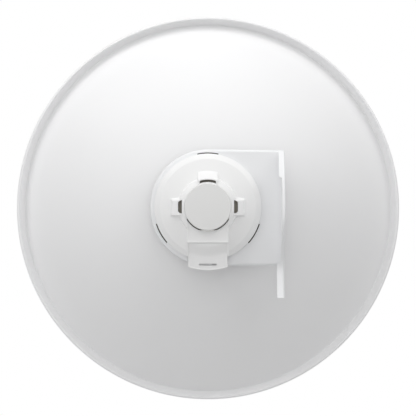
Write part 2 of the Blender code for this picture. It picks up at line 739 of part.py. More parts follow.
def make_sub_reflector():
    """Round metal splash plate."""
    high = RADOME_FRONT - GAP
    profile = [
        (0.0, high), (SPLASH_RADIUS, high), (SPLASH_RADIUS, SPLASH_FRONT), (0.0, SPLASH_FRONT),
    ]
    return turned("sub_reflector", profile, SPLASH_METAL, 48, False)


def make_front_cap():
    """Shallow domed cap over the splash plate."""
    high = SPLASH_FRONT - GAP
    side = high - FRONT_CAP_SIDE
    depth = FRONT_CAP_END - side
    profile = [(0.0, high), (FRONT_CAP_RADIUS - 0.5 * MM, high), (FRONT_CAP_RADIUS, high - 0.6 * MM)]
    profile += [(FRONT_CAP_RADIUS, side)]
    for i in range(1, 7):
        turn = math.pi / 2 * i / 7
        profile.append((FRONT_CAP_RADIUS * math.cos(turn) ** 0.7, side + depth * math.sin(turn)))
    profile.append((0.0, FRONT_CAP_END))
    return turned("front_cap", profile, FEED_PLASTIC, 40, False)


def guide_rail(name, side):
    """Rail of the hood that runs down beside the cover to the shell's edge."""
    inner = COVER_HALVES[0] + GAP
    start = STEP_Y + MM
    end = -math.sqrt((HOUSING_RADIUS - 0.5 * MM) ** 2 - HOOD_HALF ** 2)
    base = PLATE_REAR + GAP
    outline = []
    for i in range(RAIL_STATIONS + 1):
        y = start + (end - start) * i / RAIL_STATIONS
        outline.append((y, cover_height(math.hypot(inner, y))))
    outline += [(end, base), (start, base)]
    low, high = sorted((side * inner, side * (HOOD_HALF - NEST)))
    return flat(name, outline, low, high, None, "X")


def make_port_hood():
    """Fixed upper part of the strip, with a rail down each side of the cover."""
    length = (STEP_Y, HOOD_START)
    heights = (PLATE_REAR + GAP, HOOD_TOP)
    hood = box("port_hood", (-HOOD_HALF, HOOD_HALF), length, heights, SHELL_PLASTIC)
    round_edges(hood, 0.4 * MM, 2, 60.0)
    combine(hood, rod("hood_bore", COLLAR_BORE, 80 * MM, 125 * MM, sides=64))
    room = HOOD_HALF - HOOD_WALL
    inside = (85 * MM, HOOD_TOP - HOOD_WALL)
    combine(hood, box("hood_room", (-room, room), (STEP_Y - 2 * MM, -20 * MM), inside))
    combine(hood, rod("seal_room", 32.0 * MM, 85 * MM, PLATE_REAR + SEAL_HEIGHT + 1.2 * MM, sides=48))
    combine(hood, guide_rail("left_rail", -1), "UNION")
    combine(hood, guide_rail("right_rail", 1), "UNION")
    return hood


def cover_height(radius, drop=0.0):
    """Height of the port cover's face, which droops and has a soft S-shaped fall."""
    first, last = COVER_FALL
    share = min(max((radius - first) / (last - first), 0.0), 1.0)
    fall = (COVER_HIGH - COVER_LOW) * share * share * (3.0 - 2.0 * share)
    return COVER_HIGH - fall - COVER_DROOP * max(radius + STEP_Y, 0.0) - drop


def cover_form(name, inset, drop, finish=None):
    """Turned form under the cover's face, trimmed to the strip's width."""
    inner = -STEP_Y - 2.6 * MM
    outer = COVER_END - inset
    base = PLATE_REAR + GAP - (0.0 if finish else 4.0 * MM)
    first, last = COVER_FALL
    radii = [inner, first - 0.5 * MM]
    radii += [first + (last - first) * i / 8 for i in range(9)]
    profile = [(radius, cover_height(radius, drop)) for radius in radii]
    end = cover_height(outer, drop)
    profile += [(outer - 0.5 * MM, end), (outer, end - 0.5 * MM), (outer, base), (inner, base)]
    made = turned(name, profile, finish, 96)
    top = STEP_Y - GAP + inset
    wide, narrow = (half - inset for half in COVER_HALVES)
    outline = [(-wide, top), (-narrow, -COVER_END - MM), (narrow, -COVER_END - MM), (wide, top)]
    limit = flat(name + "_limit", outline, 80 * MM, 130 * MM)
    return combine(made, limit, "INTERSECT")


def make_port_cover():
    """Removable lower part of the strip, hollow, with a pull slot and a cable outlet."""
    cover = cover_form("port_cover", 0.0, 0.0, SHELL_PLASTIC)
    combine(cover, cover_form("cover_room", COVER_WALL, COVER_WALL))
    inner, outer = PULL_SLOT
    wide, narrow = PULL_SLOT_HALVES
    outline = [(-wide, -inner), (wide, -inner), (narrow, -outer), (-narrow, -outer)]
    combine(cover, flat("pull_slot", outline, 100 * MM, 112 * MM))
    sides = (-OUTLET_HALF, OUTLET_HALF)
    combine(cover, box("cable_outlet", sides, (-70 * MM, -60 * MM), (85 * MM, OUTLET_TOP)))
    return cover


def make_ethernet_jack():
    """Shielded socket that faces down inside the strip."""
    length = (JACK_FACE, -FEED_RADIUS - GAP)
    jack = box("ethernet_jack", (-JACK_HALF, JACK_HALF), length, JACK_HEIGHTS, BRIGHT_METAL)
    room = (JACK_FACE - 2.0 * MM, JACK_ROOM_END)
    sides = (-JACK_ROOM_HALF, JACK_ROOM_HALF)
    return combine(jack, box("jack_room", sides, room, JACK_ROOM_HEIGHTS))


make_dish()
make_hub_spacer()
make_bracket()
make_bolts()
make_housing()
make_seal_ring()
make_latches()
make_feed_body()
make_end_cap()
make_port_hood()
make_port_cover()
make_ethernet_jack()
make_front_collar()
make_feed_tube()
make_feed_radome()
make_sub_reflector()
make_front_cap()
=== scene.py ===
"""Looks of the wireless bridge dish antenna: powder coat, moulded shells, feed and fasteners.

Every piece is drawn as someone behind the dish sees it: x to the right, y up and z towards
that person, with z = 0 at the rear edge of the rim. hand_in() carries it into the frame.
"""
import math

import bmesh
import bpy
import numpy as np
from mathutils import Matrix, Vector


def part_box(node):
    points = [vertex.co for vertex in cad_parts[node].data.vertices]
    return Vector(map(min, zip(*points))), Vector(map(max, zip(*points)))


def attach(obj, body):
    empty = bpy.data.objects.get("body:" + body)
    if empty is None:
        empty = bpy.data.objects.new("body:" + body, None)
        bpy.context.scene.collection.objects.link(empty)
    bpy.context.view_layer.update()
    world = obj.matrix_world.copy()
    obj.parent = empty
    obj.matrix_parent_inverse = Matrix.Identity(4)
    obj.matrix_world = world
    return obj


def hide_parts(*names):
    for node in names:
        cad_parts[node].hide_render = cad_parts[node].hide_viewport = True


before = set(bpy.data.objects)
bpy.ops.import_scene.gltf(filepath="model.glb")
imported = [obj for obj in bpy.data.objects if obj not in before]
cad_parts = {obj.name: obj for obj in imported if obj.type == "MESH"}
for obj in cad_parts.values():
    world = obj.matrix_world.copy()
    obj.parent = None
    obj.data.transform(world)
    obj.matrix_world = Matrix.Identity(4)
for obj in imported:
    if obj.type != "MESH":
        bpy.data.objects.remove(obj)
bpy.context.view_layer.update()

MM = 0.001
GAP = 0.3 * MM

# Distances within which points are welded: plain pieces, fine ones, after a cut, and turned ones
WELD = 0.004 * MM
FINE_WELD = 0.001 * MM
CUT_WELD = 0.008 * MM
TURNED_WELD = 0.002 * MM

# Dish reflector, with its axis and rim plane taken from the frame
FOCAL_LENGTH = 126.7 * MM
VERTEX_HEIGHT = 72.0 * MM
DISH_SHEET = 1.5 * MM
DISH_HOLE = 25.5 * MM
CREASE_RADIUS = 201.8 * MM
LIP_ANGLE = math.radians(58.0)
HEM_RADIUS = 1.7 * MM
CREASE_ROUNDS = (1.2 * MM, 2.0 * MM)
DISH_RINGS = 44
DISH_STEPS = 320
dish_low, dish_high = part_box("dish_reflector")
AXIS_X = (dish_low.x + dish_high.x) / 2
DISH_RADIUS = (dish_high.z - dish_low.z) / 2
RIM_Y = dish_low.y + VERTEX_HEIGHT - DISH_HOLE ** 2 / (4 * FOCAL_LENGTH)

# Bracket
WING_FACE = -AXIS_X
BRACKET_SHEET = 2.4 * MM
PLATE_REAR = 92.0 * MM
PLATE_RADIUS = 61.0 * MM
PLATE_RIGHT = 77.0 * MM
PLATE_TOP = 60.1 * MM
PLATE_FOOT = -61.5 * MM
PLATE_FOOT_START = 20.0 * MM
PLATE_HOLE = 27.0 * MM
SKIRT_DEPTH = 14.0 * MM
SKIRT_ROUND = 3.0 * MM
FOLD_INNER = 1.0 * MM
NEST = 0.05 * MM
WING_BOTTOM = -95.1 * MM
WING_BENDS = (1.1 * MM, 2.6 * MM)
WING_BEND_TURN = (-8.0 * MM, 30.0 * MM)
WING_FOOT = (1.5 * MM, -4.0 * MM)
FOLD_REACH = (6.0 * MM, 4.0 * MM)
LEG_FRONT = 62.0 * MM
LEG_REAR = 91.0 * MM
LEG_CORNER = 8.0 * MM
UPPER_LIP_EDGE = 74.2 * MM
UPPER_LIP_FOOT = 30.9 * MM
NARROW_LIP_EDGES = (77.5 * MM, 76.2 * MM)
NARROW_LIP_TURN = -5.0 * MM
LOWER_LIP_EDGE = 72.6 * MM
LOWER_LIP_HEAD = -59.2 * MM
LIP_END = 0.8 * MM
PIVOT_HOLE = 4.3 * MM
PIVOT = (18.0 * MM, 110.0 * MM)
SLOT_RADIUS = 98.0 * MM
SLOT_ANGLES = (196.0, 205.0)
HOOK_SLOTS = [(78.8, 101.2), (198.0, 221.0), (318.5, 342.0)]
HOOK_SLOT_RADII = (54.6 * MM, 57.6 * MM)
WING_CUT = (70.0 * MM, 90.0 * MM)
PLATE_CUT = (85.0 * MM, 96.0 * MM)
# Ring under the plate, painted near black as shade for the slots beside the shell: inner and outer radius,
# and depth
SLOT_SHADE_RING = (53.2 * MM, 59.0 * MM)
SLOT_SHADE_DEPTH = 1.4 * MM

# Rear edge of the wing at its turning points, top to foot: height up, and height behind the rim
WING_EDGE = [
    (59.4, 99.0), (38.0, 113.5), (27.0, 119.5), (14.0, 124.5), (0.0, 127.5), (-14.0, 128.0),
    (-26.0, 123.5), (-38.0, 115.0), (-50.0, 106.0), (-58.0, 101.0), (-66.0, 99.5),
    (-78.0, 102.0), (-95.1, 108.0),
]
WING_STATIONS = 96

# Rear housing
HOUSING_RADIUS = 56.3 * MM
HOUSING_WALL = 2.0 * MM
HOUSING_ROUND = 0.5 * MM
HOUSING_STEPS = 512
HOUSING_CUT = (90.0 * MM, 120.0 * MM)
STRIP_CUT = (-70.0 * MM, -10.0 * MM)
SLOPING_WALL = 1.15
LOWEST_CEILING = 0.4 * MM
EDGE_TOP = 97.6 * MM
CHAMFER_RADIUS = 50.5 * MM
CHAMFER_TOP = 101.5 * MM
CHAMFER_FILLET = 0.2 * MM
CONE_RADIUS = 31.3 * MM
CONE_TOP = 107.0 * MM
COLLAR_TOP = 113.2 * MM
COLLAR_CREST = 25.0 * MM
COLLAR_EDGE = (30.3 * MM, 110.8 * MM)
COLLAR_BORE = 24.4 * MM
COLLAR_FILLET = 0.3 * MM
COLLAR_EDGE_FILLET = 0.8 * MM
TOP_WINDOW = (26.0 * MM, 28.5 * MM)
SIDE_WINDOW_SHIFT = {-1: 0.2 * MM, 1: 0.15 * MM}
WINDOW_TAB_TOPS = (107.5 * MM, 105.5 * MM)
WINDOW_TAB_FOOT = 102.8 * MM

# Angles at which the top window's outer and inner arcs start and end
TOP_WINDOW_ENDS = (73.5, 106.5, 110.0, 70.0)

# Corners of a side window in millimetres: x, y and rounding
SIDE_WINDOW = [
    (27.3, -6.6, 0.5), (29.3, -6.6, 0.8), (31.3, -4.6, 1.2), (31.3, 4.9, 1.2),
    (29.3, 6.6, 0.8), (27.3, 7.3, 0.3),
]

# Rings of the housing's face: first and last radius, and the distance between them
HOUSING_RINGS = [
    (COLLAR_CREST, 39.0 * MM, 0.36 * MM), (40.0 * MM, CHAMFER_RADIUS - 1.0 * MM, 1.6 * MM),
    (CHAMFER_RADIUS - 0.8 * MM, CHAMFER_RADIUS + 1.0 * MM, 0.25 * MM),
]
HOUSING_EDGE_RINGS = [52.6 * MM, 54.0 * MM, 55.0 * MM, 55.5 * MM, 55.9 * MM]

# Ramp over the top window: half width, height, radii of its crest and its outer end
TOP_BOSS = (10.4 * MM, 113.5 * MM, 29.7 * MM, 37.9 * MM)
TOP_BOSS_START = 18.0 * MM
TOP_BOSS_SIDE = 6.0
TOP_BOSS_FILLETS = (0.5 * MM, 0.9 * MM)

# Blocks beside the side windows: outer end, its height, upper and lower edge
SIDE_BOSS = (37.5 * MM, 107.4 * MM, 6.9 * MM, -8.7 * MM)
SIDE_BOSS_START = 27.0 * MM
SIDE_BOSS_SIDES = (1.2, 3.0, 2.0)
SIDE_BOSS_FILLETS = (0.2 * MM, 0.4 * MM, 0.8 * MM)
BOSS_FOOT_FILLET = 0.25 * MM

# Hub and feed
SPACER_INNER = 26.5 * MM
SPACER_OUTER = 50.0 * MM
SPACER_CORE = 43.0 * MM
SPACER_RIB = 1.8 * MM
BOLT_CIRCLE = 40.0 * MM
BOLT_HEAD = 4.5 * MM
BOLT_HEAD_REST = 66.2 * MM
BOLT_SOCKET = 1.9 * MM
BOLT_SHANK = 2.5 * MM
FEED_RADIUS = 24.0 * MM
FEED_FRONT = 56.0 * MM
CAP_RADIUS = 24.7 * MM
CAP_EDGE = (0.7 * MM, 4.5 * MM)
CAP_CLEARANCE = 25.8 * MM
CAP_TOP = 121.5 * MM
CAP_BASE = 116.5 * MM
TUBE_RADIUS = 20.5 * MM
TUBE_FRONT = -20.0 * MM
RADOME_RADIUS = 30.0 * MM
RADOME_FRONT = -60.0 * MM
SPLASH_RADIUS = 31.5 * MM
SPLASH_FRONT = -63.0 * MM
FRONT_CAP_RADIUS = 33.0 * MM
FRONT_CAP_END = -76.0 * MM
FRONT_COLLAR_RADIUS = 34.0 * MM
DOME_STEPS = 24
DOME_POWER = 0.7
FLARE_POWER = 1.8

# Section of a grip rib in millimetres: radius, and distance in front of the collar's rear edge
GRIP_CORNERS = [(28.6, 5.4), (31.6, 3.4), (32.6, 4.2), (30.4, 5.9)]

# Port hood and port cover
HOOD_HALF = 21.9 * MM
HOOD_TOP = 115.5 * MM
HOOD_WALL = 1.8 * MM
HOOD_BASE = PLATE_REAR + GAP + 6.0 * MM
HOOD_ROUND = 0.35 * MM
RAIL_WIDTH = 1.3 * MM
RAIL_HEIGHT = 0.22 * MM
RAIL_FLANK = 0.5 * MM
GUIDE_OVERLAP = 1.0 * MM
GUIDE_FOOT = 96.0 * MM
STEP_Y = -37.3 * MM
STEP_ROUND = 0.25 * MM
COVER_HALVES = (20.1 * MM, 20.7 * MM)
SLIT = 0.02 * MM
COVER_HIGH = 114.7 * MM
COVER_LOW = 111.6 * MM
COVER_DROOP = 0.07
COVER_FALL = (39.5 * MM, 52.5 * MM)
COVER_END = 66.2 * MM
COVER_WALL = 1.8 * MM
COVER_ROUND = 0.15 * MM
COVER_RAIL = (1.0 * MM, 0.15 * MM, 0.4 * MM)
PULL_SLOT = (59.2 * MM, 61.5 * MM)
PULL_SLOT_HALVES = (9.3 * MM, 9.0 * MM)
OUTLET_HALF = 4.5 * MM
OUTLET_HEIGHTS = (85.0 * MM, 100.5 * MM)
ROWS_ALONG = 72

# Contacts of the network socket
CONTACT_COUNT = 8
CONTACT_PITCH = 1.02 * MM
CONTACT_CENTRE = (-31.3 * MM, 107.2 * MM)
CONTACT_SIZE = (0.5 * MM, 7.4 * MM, 0.6 * MM)

# Camera: 2.2 m behind the rim, a little below and beside the dish axis, aimed at its centre
PICTURE_SIZE = 416
CAMERA_DISTANCE = 2.2
CAMERA_OFFSET = (0.004, -0.022)
RIM_RADIUS_IN_PICTURE = 191.0

# Soft studio: name, place from the dish centre, size and strength of each panel, all white
PANELS = [
    ("top_wide_panel", (0.0, -0.6, 1.0), 2.0, 2.89),
    ("top_left_panel", (-1.3, -1.0, 1.3), 1.0, 3.66),
    ("left_wide_panel", (-1.0, -0.7, 1.0), 1.6, 0.65),
    ("right_wide_panel", (1.0, -0.7, 1.0), 1.6, 6.42),
    ("top_key", (0.0, -0.5, 1.3), 0.2, 1.34),
    ("top_near_panel", (0.0, -0.45, 0.8), 0.5, 0.50),
    ("top_graze_panel", (0.0, -0.12, 0.9), 0.6, 0.28),
    ("near_left_panel", (-0.65, -0.35, 0.65), 0.5, 1.20),
    ("near_right_panel", (0.65, -0.35, 0.65), 0.5, 0.53),
    ("left_panel", (-0.9, -0.4, 0.0), 0.6, 0.49),
    ("front_panel", (0.0, -3.0, 0.0), 1.2, 5.51),
    ("front_high_panel", (0.0, -0.9, 0.35), 0.5, 0.23),
    ("front_left_panel", (-1.2, -1.4, 0.3), 0.9, 1.91),
]
AMBIENT = 0.322
FLOOR_HEIGHT = -0.62
FLOOR_HALF = 1.6

# Grain that all finishes share
DRIFT_SCALE = 18.0
ROUGHNESS_DRIFT = 0.06


def placed(name, data):
    """New object with the given data, linked into the scene."""
    made = bpy.data.objects.new(name, data)
    bpy.context.scene.collection.objects.link(made)
    return made


def object_from(work, name, finish=None):
    """New object from an edited mesh, which is then freed."""
    mesh = bpy.data.meshes.new(name)
    work.to_mesh(mesh)
    work.free()
    if finish:
        mesh.materials.append(finish)
    return placed(name, mesh)


def node_in(tree, kind, inputs=None, **settings):
    """Outputs of a new node with its settings; each input takes a value or another node's output."""
    node = tree.nodes.new(kind)
    for label, value in settings.items():
        setattr(node, label, value)
    for socket, value in (inputs or {}).items():
        if isinstance(value, bpy.types.NodeSocket):
            tree.links.new(value, node.inputs[socket])
        else:
            node.inputs[socket].default_value = value
    return node.outputs


def step_in(tree, kind, inputs=None, **settings):
    """First output of a new node, which for most nodes is the only one in use."""
    return node_in(tree, kind, inputs, **settings)[0]


def maths(tree, operation, *values):
    """Output of a maths node fed by values or other outputs."""
    return step_in(tree, "ShaderNodeMath", dict(enumerate(values)), operation=operation)


def make_camera():
    """Long lens close to the dish axis."""
    data = bpy.data.cameras.new("camera")
    focal_pixels = RIM_RADIUS_IN_PICTURE * CAMERA_DISTANCE / DISH_RADIUS
    data.lens = focal_pixels * data.sensor_width / PICTURE_SIZE
    camera = placed("camera", data)
    aside, up = CAMERA_OFFSET
    camera.location = (AXIS_X + aside, RIM_Y - CAMERA_DISTANCE, up)
    aim = Vector((-aside, CAMERA_DISTANCE, -up))
    camera.rotation_euler = aim.to_track_quat("-Z", "Y").to_euler()
    bpy.context.scene.camera = camera


def make_lights():
    """Soft panels aimed at the dish, and a pale surround."""
    centre = Vector((AXIS_X, RIM_Y, 0.0))
    for name, place, size, power in PANELS:
        data = bpy.data.lights.new(name, "AREA")
        data.shape = "DISK"
        data.size = size
        data.energy = power
        light = placed(name, data)
        light.location = centre + Vector(place)
        light.rotation_euler = (-Vector(place)).to_track_quat("-Z", "Y").to_euler()
        light.visible_camera = False
    world = bpy.data.worlds.new("pale_surround")
    bpy.context.scene.world = world
    world.use_nodes = True
    tree = world.node_tree
    tree.nodes.clear()
    seen = node_in(tree, "ShaderNodeLightPath")["Is Camera Ray"]
    strength = maths(tree, "MULTIPLY_ADD", seen, 1.0 - AMBIENT, AMBIENT)
    white = step_in(tree, "ShaderNodeBackground", {"Color": (1.0, 1.0, 1.0, 1.0), "Strength": strength})
    node_in(tree, "ShaderNodeOutputWorld", {"Surface": white})
    bpy.context.scene.view_settings.view_transform = "Standard"


def make_floor():
    """Plain pale floor below the dish, out of the photograph's view."""
    paint = bpy.data.materials.new("pale_floor_paint")
    paint.use_nodes = True
    shader = paint.node_tree.nodes["Principled BSDF"]
    shader.inputs["Base Color"].default_value = (0.85, 0.85, 0.85, 1.0)
    shader.inputs["Roughness"].default_value = 0.9
    work = bmesh.new()
    bmesh.ops.create_grid(work, x_segments=1, y_segments=1, size=FLOOR_HALF)
    bmesh.ops.translate(work, vec=(AXIS_X, 0.0, FLOOR_HEIGHT), verts=work.verts)
    object_from(work, "pale_floor", paint)


def group_tree(name, kind, inputs, outputs):
    """Node group with named inputs, each with its default or its type, and typed outputs."""
    tree = bpy.data.node_groups.new(name, kind)
    types = {float: "Float", int: "Int", tuple: "Color"}
    for label, given in inputs.items():
        socket = types.get(type(given), given)
        made = tree.interface.new_socket(label, in_out="INPUT", socket_type=f"NodeSocket{socket}")
        if socket != given:
            made.default_value = given
    for label, socket in outputs.items():
        tree.interface.new_socket(label, in_out="OUTPUT", socket_type=f"NodeSocket{socket}")
    return tree


def fine_grain_group():
    """Grain of a coated or moulded surface: colour drift, roughness drift and relief."""
    tree = group_tree(
        "fine_grain", "ShaderNodeTree",
        {"Colour": (0.8, 0.8, 0.8, 1.0), "Drift": 0.02, "Grain Scale": 900.0, "Roughness": 0.45,
         "Relief": 0.00002},
        {"Colour": "Color", "Roughness": "Float", "Height": "Float"},
    )
    given = node_in(tree, "NodeGroupInput")
    place = node_in(tree, "ShaderNodeTexCoord")["Object"]
    slow = step_in(tree, "ShaderNodeTexNoise", {"Vector": place, "Scale": DRIFT_SCALE, "Detail": 3.0})
    fine = step_in(tree, "ShaderNodeTexNoise", {
        "Vector": place, "Scale": given["Grain Scale"], "Detail": 2.0, "Roughness": 0.6,
    })
    swing = maths(tree, "MULTIPLY", maths(tree, "SUBTRACT", slow, 0.5), given["Drift"])
    gain = maths(tree, "ADD", swing, 1.0)
    tint = step_in(tree, "ShaderNodeVectorMath", {0: given["Colour"], "Scale": gain}, operation="SCALE")
    node_in(tree, "NodeGroupOutput", {
        "Colour": tint,
        "Roughness": maths(tree, "MULTIPLY_ADD", fine, ROUGHNESS_DRIFT, given["Roughness"]),
        "Height": maths(tree, "MULTIPLY", fine, given["Relief"]),
    })
    return tree


FINE_GRAIN = fine_grain_group()


def grained_material(name, colour, roughness, drift, grain, relief, metallic=0.0):
    """Principled material whose colour, roughness and relief come from the fine grain."""
    made = bpy.data.materials.new(name)
    made.use_nodes = True
    tree = made.node_tree
    surface = node_in(tree, "ShaderNodeGroup", {
        "Colour": (*colour, 1.0), "Drift": drift, "Grain Scale": grain,
        "Roughness": roughness, "Relief": relief,
    }, node_tree=FINE_GRAIN)
    bump = step_in(tree, "ShaderNodeBump", {"Strength": 1.0, "Distance": 1.0, "Height": surface["Height"]})
    shader = tree.nodes["Principled BSDF"].inputs
    shader["Metallic"].default_value = metallic
    tree.links.new(surface["Colour"], shader["Base Color"])
    tree.links.new(surface["Roughness"], shader["Roughness"])
    tree.links.new(bump, shader["Normal"])
    return made


DISH_COAT = grained_material("dish_powder_coat", (0.86, 0.86, 0.865), 0.50, 0.012, 700.0, 0.000008)
BRACKET_COAT = grained_material("bracket_powder_coat", (0.86, 0.865, 0.875), 0.45, 0.012, 800.0, 0.000010)
SHELL_PLASTIC = grained_material("shell_plastic", (0.88, 0.88, 0.878), 0.42, 0.010, 1600.0, 0.000006)
# Shell plastic made darker for the removable cover: painted shade on the cover
SHADED_COVER_PLASTIC = grained_material("cover_plastic_painted_shade", (0.835, 0.835, 0.833), 0.42, 0.010, 1600.0, 0.000006)
CAP_PLASTIC = grained_material("cap_plastic", (0.79, 0.79, 0.782), 0.50, 0.010, 1600.0, 0.000006)
FEED_PLASTIC = grained_material("feed_plastic", (0.86, 0.86, 0.855), 0.40, 0.010, 1500.0, 0.000006)
# Near-black finish that paints the shade seen through the slots beside the shell
SLOT_SHADE_PAINT = grained_material("seal_rubber", (0.050, 0.042, 0.030), 0.75, 0.10, 1200.0, 0.00002)
LATCH_PLASTIC = grained_material("latch_plastic", (0.40, 0.37, 0.32), 0.60, 0.05, 1400.0, 0.00001)
WINDOW_SEAL = grained_material("window_seal", (0.48, 0.43, 0.34), 0.70, 0.05, 1200.0, 0.00001)
PLATED_STEEL = grained_material("plated_steel", (0.66, 0.66, 0.64), 0.30, 0.04, 600.0, 0.000004, 1.0)
SPUN_ALUMINIUM = grained_material("spun_aluminium", (0.78, 0.78, 0.79), 0.34, 0.03, 900.0, 0.000004, 1.0)
CONTACT_GOLD = grained_material("contact_gold", (0.83, 0.62, 0.26), 0.25, 0.03, 900.0, 0.000002, 1.0)


def end_tree(tree, geometry, finish):
    """Ends a tree with its copies made real and its finish set."""
    real = step_in(tree, "GeometryNodeRealizeInstances", {"Geometry": geometry})
    coated = step_in(tree, "GeometryNodeSetMaterial", {"Geometry": real, "Material": finish})
    node_in(tree, "NodeGroupOutput", {"Geometry": coated})
    return tree


def turned_tree():
    """Turns a profile drawn in the xz plane about z, by the row and column of each grid point."""
    tree = group_tree(
        "turned_piece", "GeometryNodeTree",
        {"Profile": "Geometry", "Steps": 96, "Rows": 8, "Points": 8, "Finish": "Material"},
        {"Geometry": "Geometry"},
    )
    given = node_in(tree, "NodeGroupInput")

    def whole(operation, first, second):
        return step_in(tree, "FunctionNodeIntegerMath", {0: first, 1: second}, operation=operation)

    columns = whole("ADD", given["Steps"], 1)
    grid = step_in(tree, "GeometryNodeMeshGrid", {"Vertices X": given["Rows"], "Vertices Y": columns})
    index = step_in(tree, "GeometryNodeInputIndex")
    row = whole("DIVIDE_FLOOR", index, columns)
    column = whole("MODULO", index, columns)
    sample = step_in(tree, "GeometryNodeSampleIndex", {
        "Geometry": given["Profile"], "Value": step_in(tree, "GeometryNodeInputPosition"),
        "Index": whole("MODULO", row, given["Points"]),
    }, data_type="FLOAT_VECTOR", domain="POINT")
    angle = maths(tree, "MULTIPLY", maths(tree, "DIVIDE", column, given["Steps"]), 2 * math.pi)
    turn = step_in(tree, "ShaderNodeVectorRotate", {"Vector": sample, "Angle": angle}, rotation_type="Z_AXIS")
    put = step_in(tree, "GeometryNodeSetPosition", {"Geometry": grid, "Position": turn})
    weld = step_in(tree, "GeometryNodeMergeByDistance", {"Geometry": put, "Distance": TURNED_WELD})
    return end_tree(tree, weld, given["Finish"])


def ring_tree():
    """Places copies of a piece around the dish axis, each turned to face outwards."""
    tree = group_tree(
        "ring_of_pieces", "GeometryNodeTree",
        {"Piece": "Geometry", "Count": 4, "Radius": 0.04, "First Angle": 0.0, "Finish": "Material"},
        {"Geometry": "Geometry"},
    )
    given = node_in(tree, "NodeGroupInput")
    index = step_in(tree, "GeometryNodeInputIndex")
    pitch = maths(tree, "DIVIDE", 2 * math.pi, given["Count"])
    angle = maths(tree, "ADD", maths(tree, "MULTIPLY", index, pitch), given["First Angle"])
    place = step_in(tree, "ShaderNodeCombineXYZ", {
        "X": maths(tree, "MULTIPLY", maths(tree, "COSINE", angle), given["Radius"]),
        "Y": maths(tree, "MULTIPLY", maths(tree, "SINE", angle), given["Radius"]),
    })
    points = step_in(tree, "GeometryNodePoints", {"Count": given["Count"], "Position": place})
    spread = step_in(tree, "GeometryNodeInstanceOnPoints", {
        "Points": points, "Instance": given["Piece"],
        "Rotation": step_in(tree, "ShaderNodeCombineXYZ", {"Z": angle}),
    })
    return end_tree(tree, spread, given["Finish"])


TURNED_PIECE = turned_tree()
RING_OF_PIECES = ring_tree()


def grown(name, mesh, tree, values):
    """Mesh that a node tree makes from a starting mesh, as a new plain object."""
    seed = placed(name, mesh)
    step = seed.modifiers.new(tree.name, "NODES")
    step.node_group = tree
    for item in tree.interface.items_tree:
        if item.in_out == "INPUT" and item.name in values:
            step[item.identifier] = values[item.name]
    return plain(seed)


def evaluated_mesh(piece):
    """New mesh of a piece as its modifiers or its curve leave it."""
    bpy.context.view_layer.update()
    graph = bpy.context.evaluated_depsgraph_get()
    return bpy.data.meshes.new_from_object(piece.evaluated_get(graph), depsgraph=graph)


def plain(piece):
    """Replaces a piece's mesh by its evaluated mesh and drops its modifiers."""
    mesh = evaluated_mesh(piece)
    piece.modifiers.clear()
    piece.data = mesh
    return piece


def tidy_mesh(piece, weld=WELD):
    """Welds doubles and points the faces of a closed piece outwards."""
    work = bmesh.new()
    work.from_mesh(piece.data)
    bmesh.ops.remove_doubles(work, verts=work.verts, dist=weld)
    bmesh.ops.dissolve_degenerate(work, edges=work.edges, dist=weld)
    bmesh.ops.recalc_face_normals(work, faces=work.faces)
    work.to_mesh(piece.data)
    work.free()
    return piece


def smooth(piece, angle=32.0):
    """Smooth shading, with the real edges kept sharp."""
    piece.data.shade_smooth()
    piece.data.set_sharp_from_angle(angle=math.radians(angle))
    return piece


def hand_in(piece, slot, *nodes):
    """Carries a finished piece into the frame, in its mesh, and puts it on the part.

    slot is not used, and nodes are the frame's nodes that it stands for.
    """
    piece.data.transform(Matrix.Translation((AXIS_X, RIM_Y, 0.0)) @ Matrix.Rotation(math.pi / 2, 4, "X"))
    piece.data.update()
    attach(piece, "root")
    if nodes:
        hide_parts(*nodes)


def turned(name, profile, finish, steps=192, closed=True):
    """Closed piece turned from a profile of (radius, height) points."""
    mesh = bpy.data.meshes.new(name)
    edges = [(i, i + 1) for i in range(len(profile) - 1)]
    mesh.from_pydata([(radius, 0.0, height) for radius, height in profile], edges, [])
    count = len(profile)
    values = {"Steps": steps, "Rows": count + int(closed), "Points": count, "Finish": finish}
    return smooth(tidy_mesh(grown(name, mesh, TURNED_PIECE, values)))


def turned_solid(name, corners, finish, steps=128):
    """Solid turned from a profile of rounded corners that starts and ends on the axis."""
    return turned(name, filleted(corners, False), finish, steps, False)


def ring_of(name, piece, count, radius, first, finish):
    """Copies of a piece around the dish axis as one mesh."""
    values = {"Count": count, "Radius": radius, "First Angle": math.radians(first), "Finish": finish}
    mesh = piece.data
    bpy.data.objects.remove(piece, do_unlink=True)
    return smooth(grown(name, mesh, RING_OF_PIECES, values))


def arc(centre, radius, first, last, count):
    """Points along an arc, both ends included, with angles in degrees."""
    angles = [math.radians(first + (last - first) * i / count) for i in range(count + 1)]
    return [(centre[0] + radius * math.cos(angle), centre[1] + radius * math.sin(angle)) for angle in angles]


def filleted(corners, closed=True, count=5):
    """Profile whose corners, given as (u, v, radius), are rounded by that radius."""
    points = []
    total = len(corners)
    for i, (u, v, radius) in enumerate(corners):
        inner = closed or 0 < i < total - 1
        here = Vector((u, v))
        if radius <= 0.0 or not inner:
            points.append((u, v))
            continue
        before = Vector(corners[i - 1][:2]) - here
        after = Vector(corners[(i + 1) % total][:2]) - here
        half = before.angle(after) / 2
        reach = min(radius / math.tan(half), before.length * 0.49, after.length * 0.49)
        start = here + before.normalized() * reach
        end = here + after.normalized() * reach
        for step in range(count + 1):
            share = step / count
            point = start * (1 - share) ** 2 + here * 2 * share * (1 - share) + end * share ** 2
            points.append((point.x, point.y))
    return points


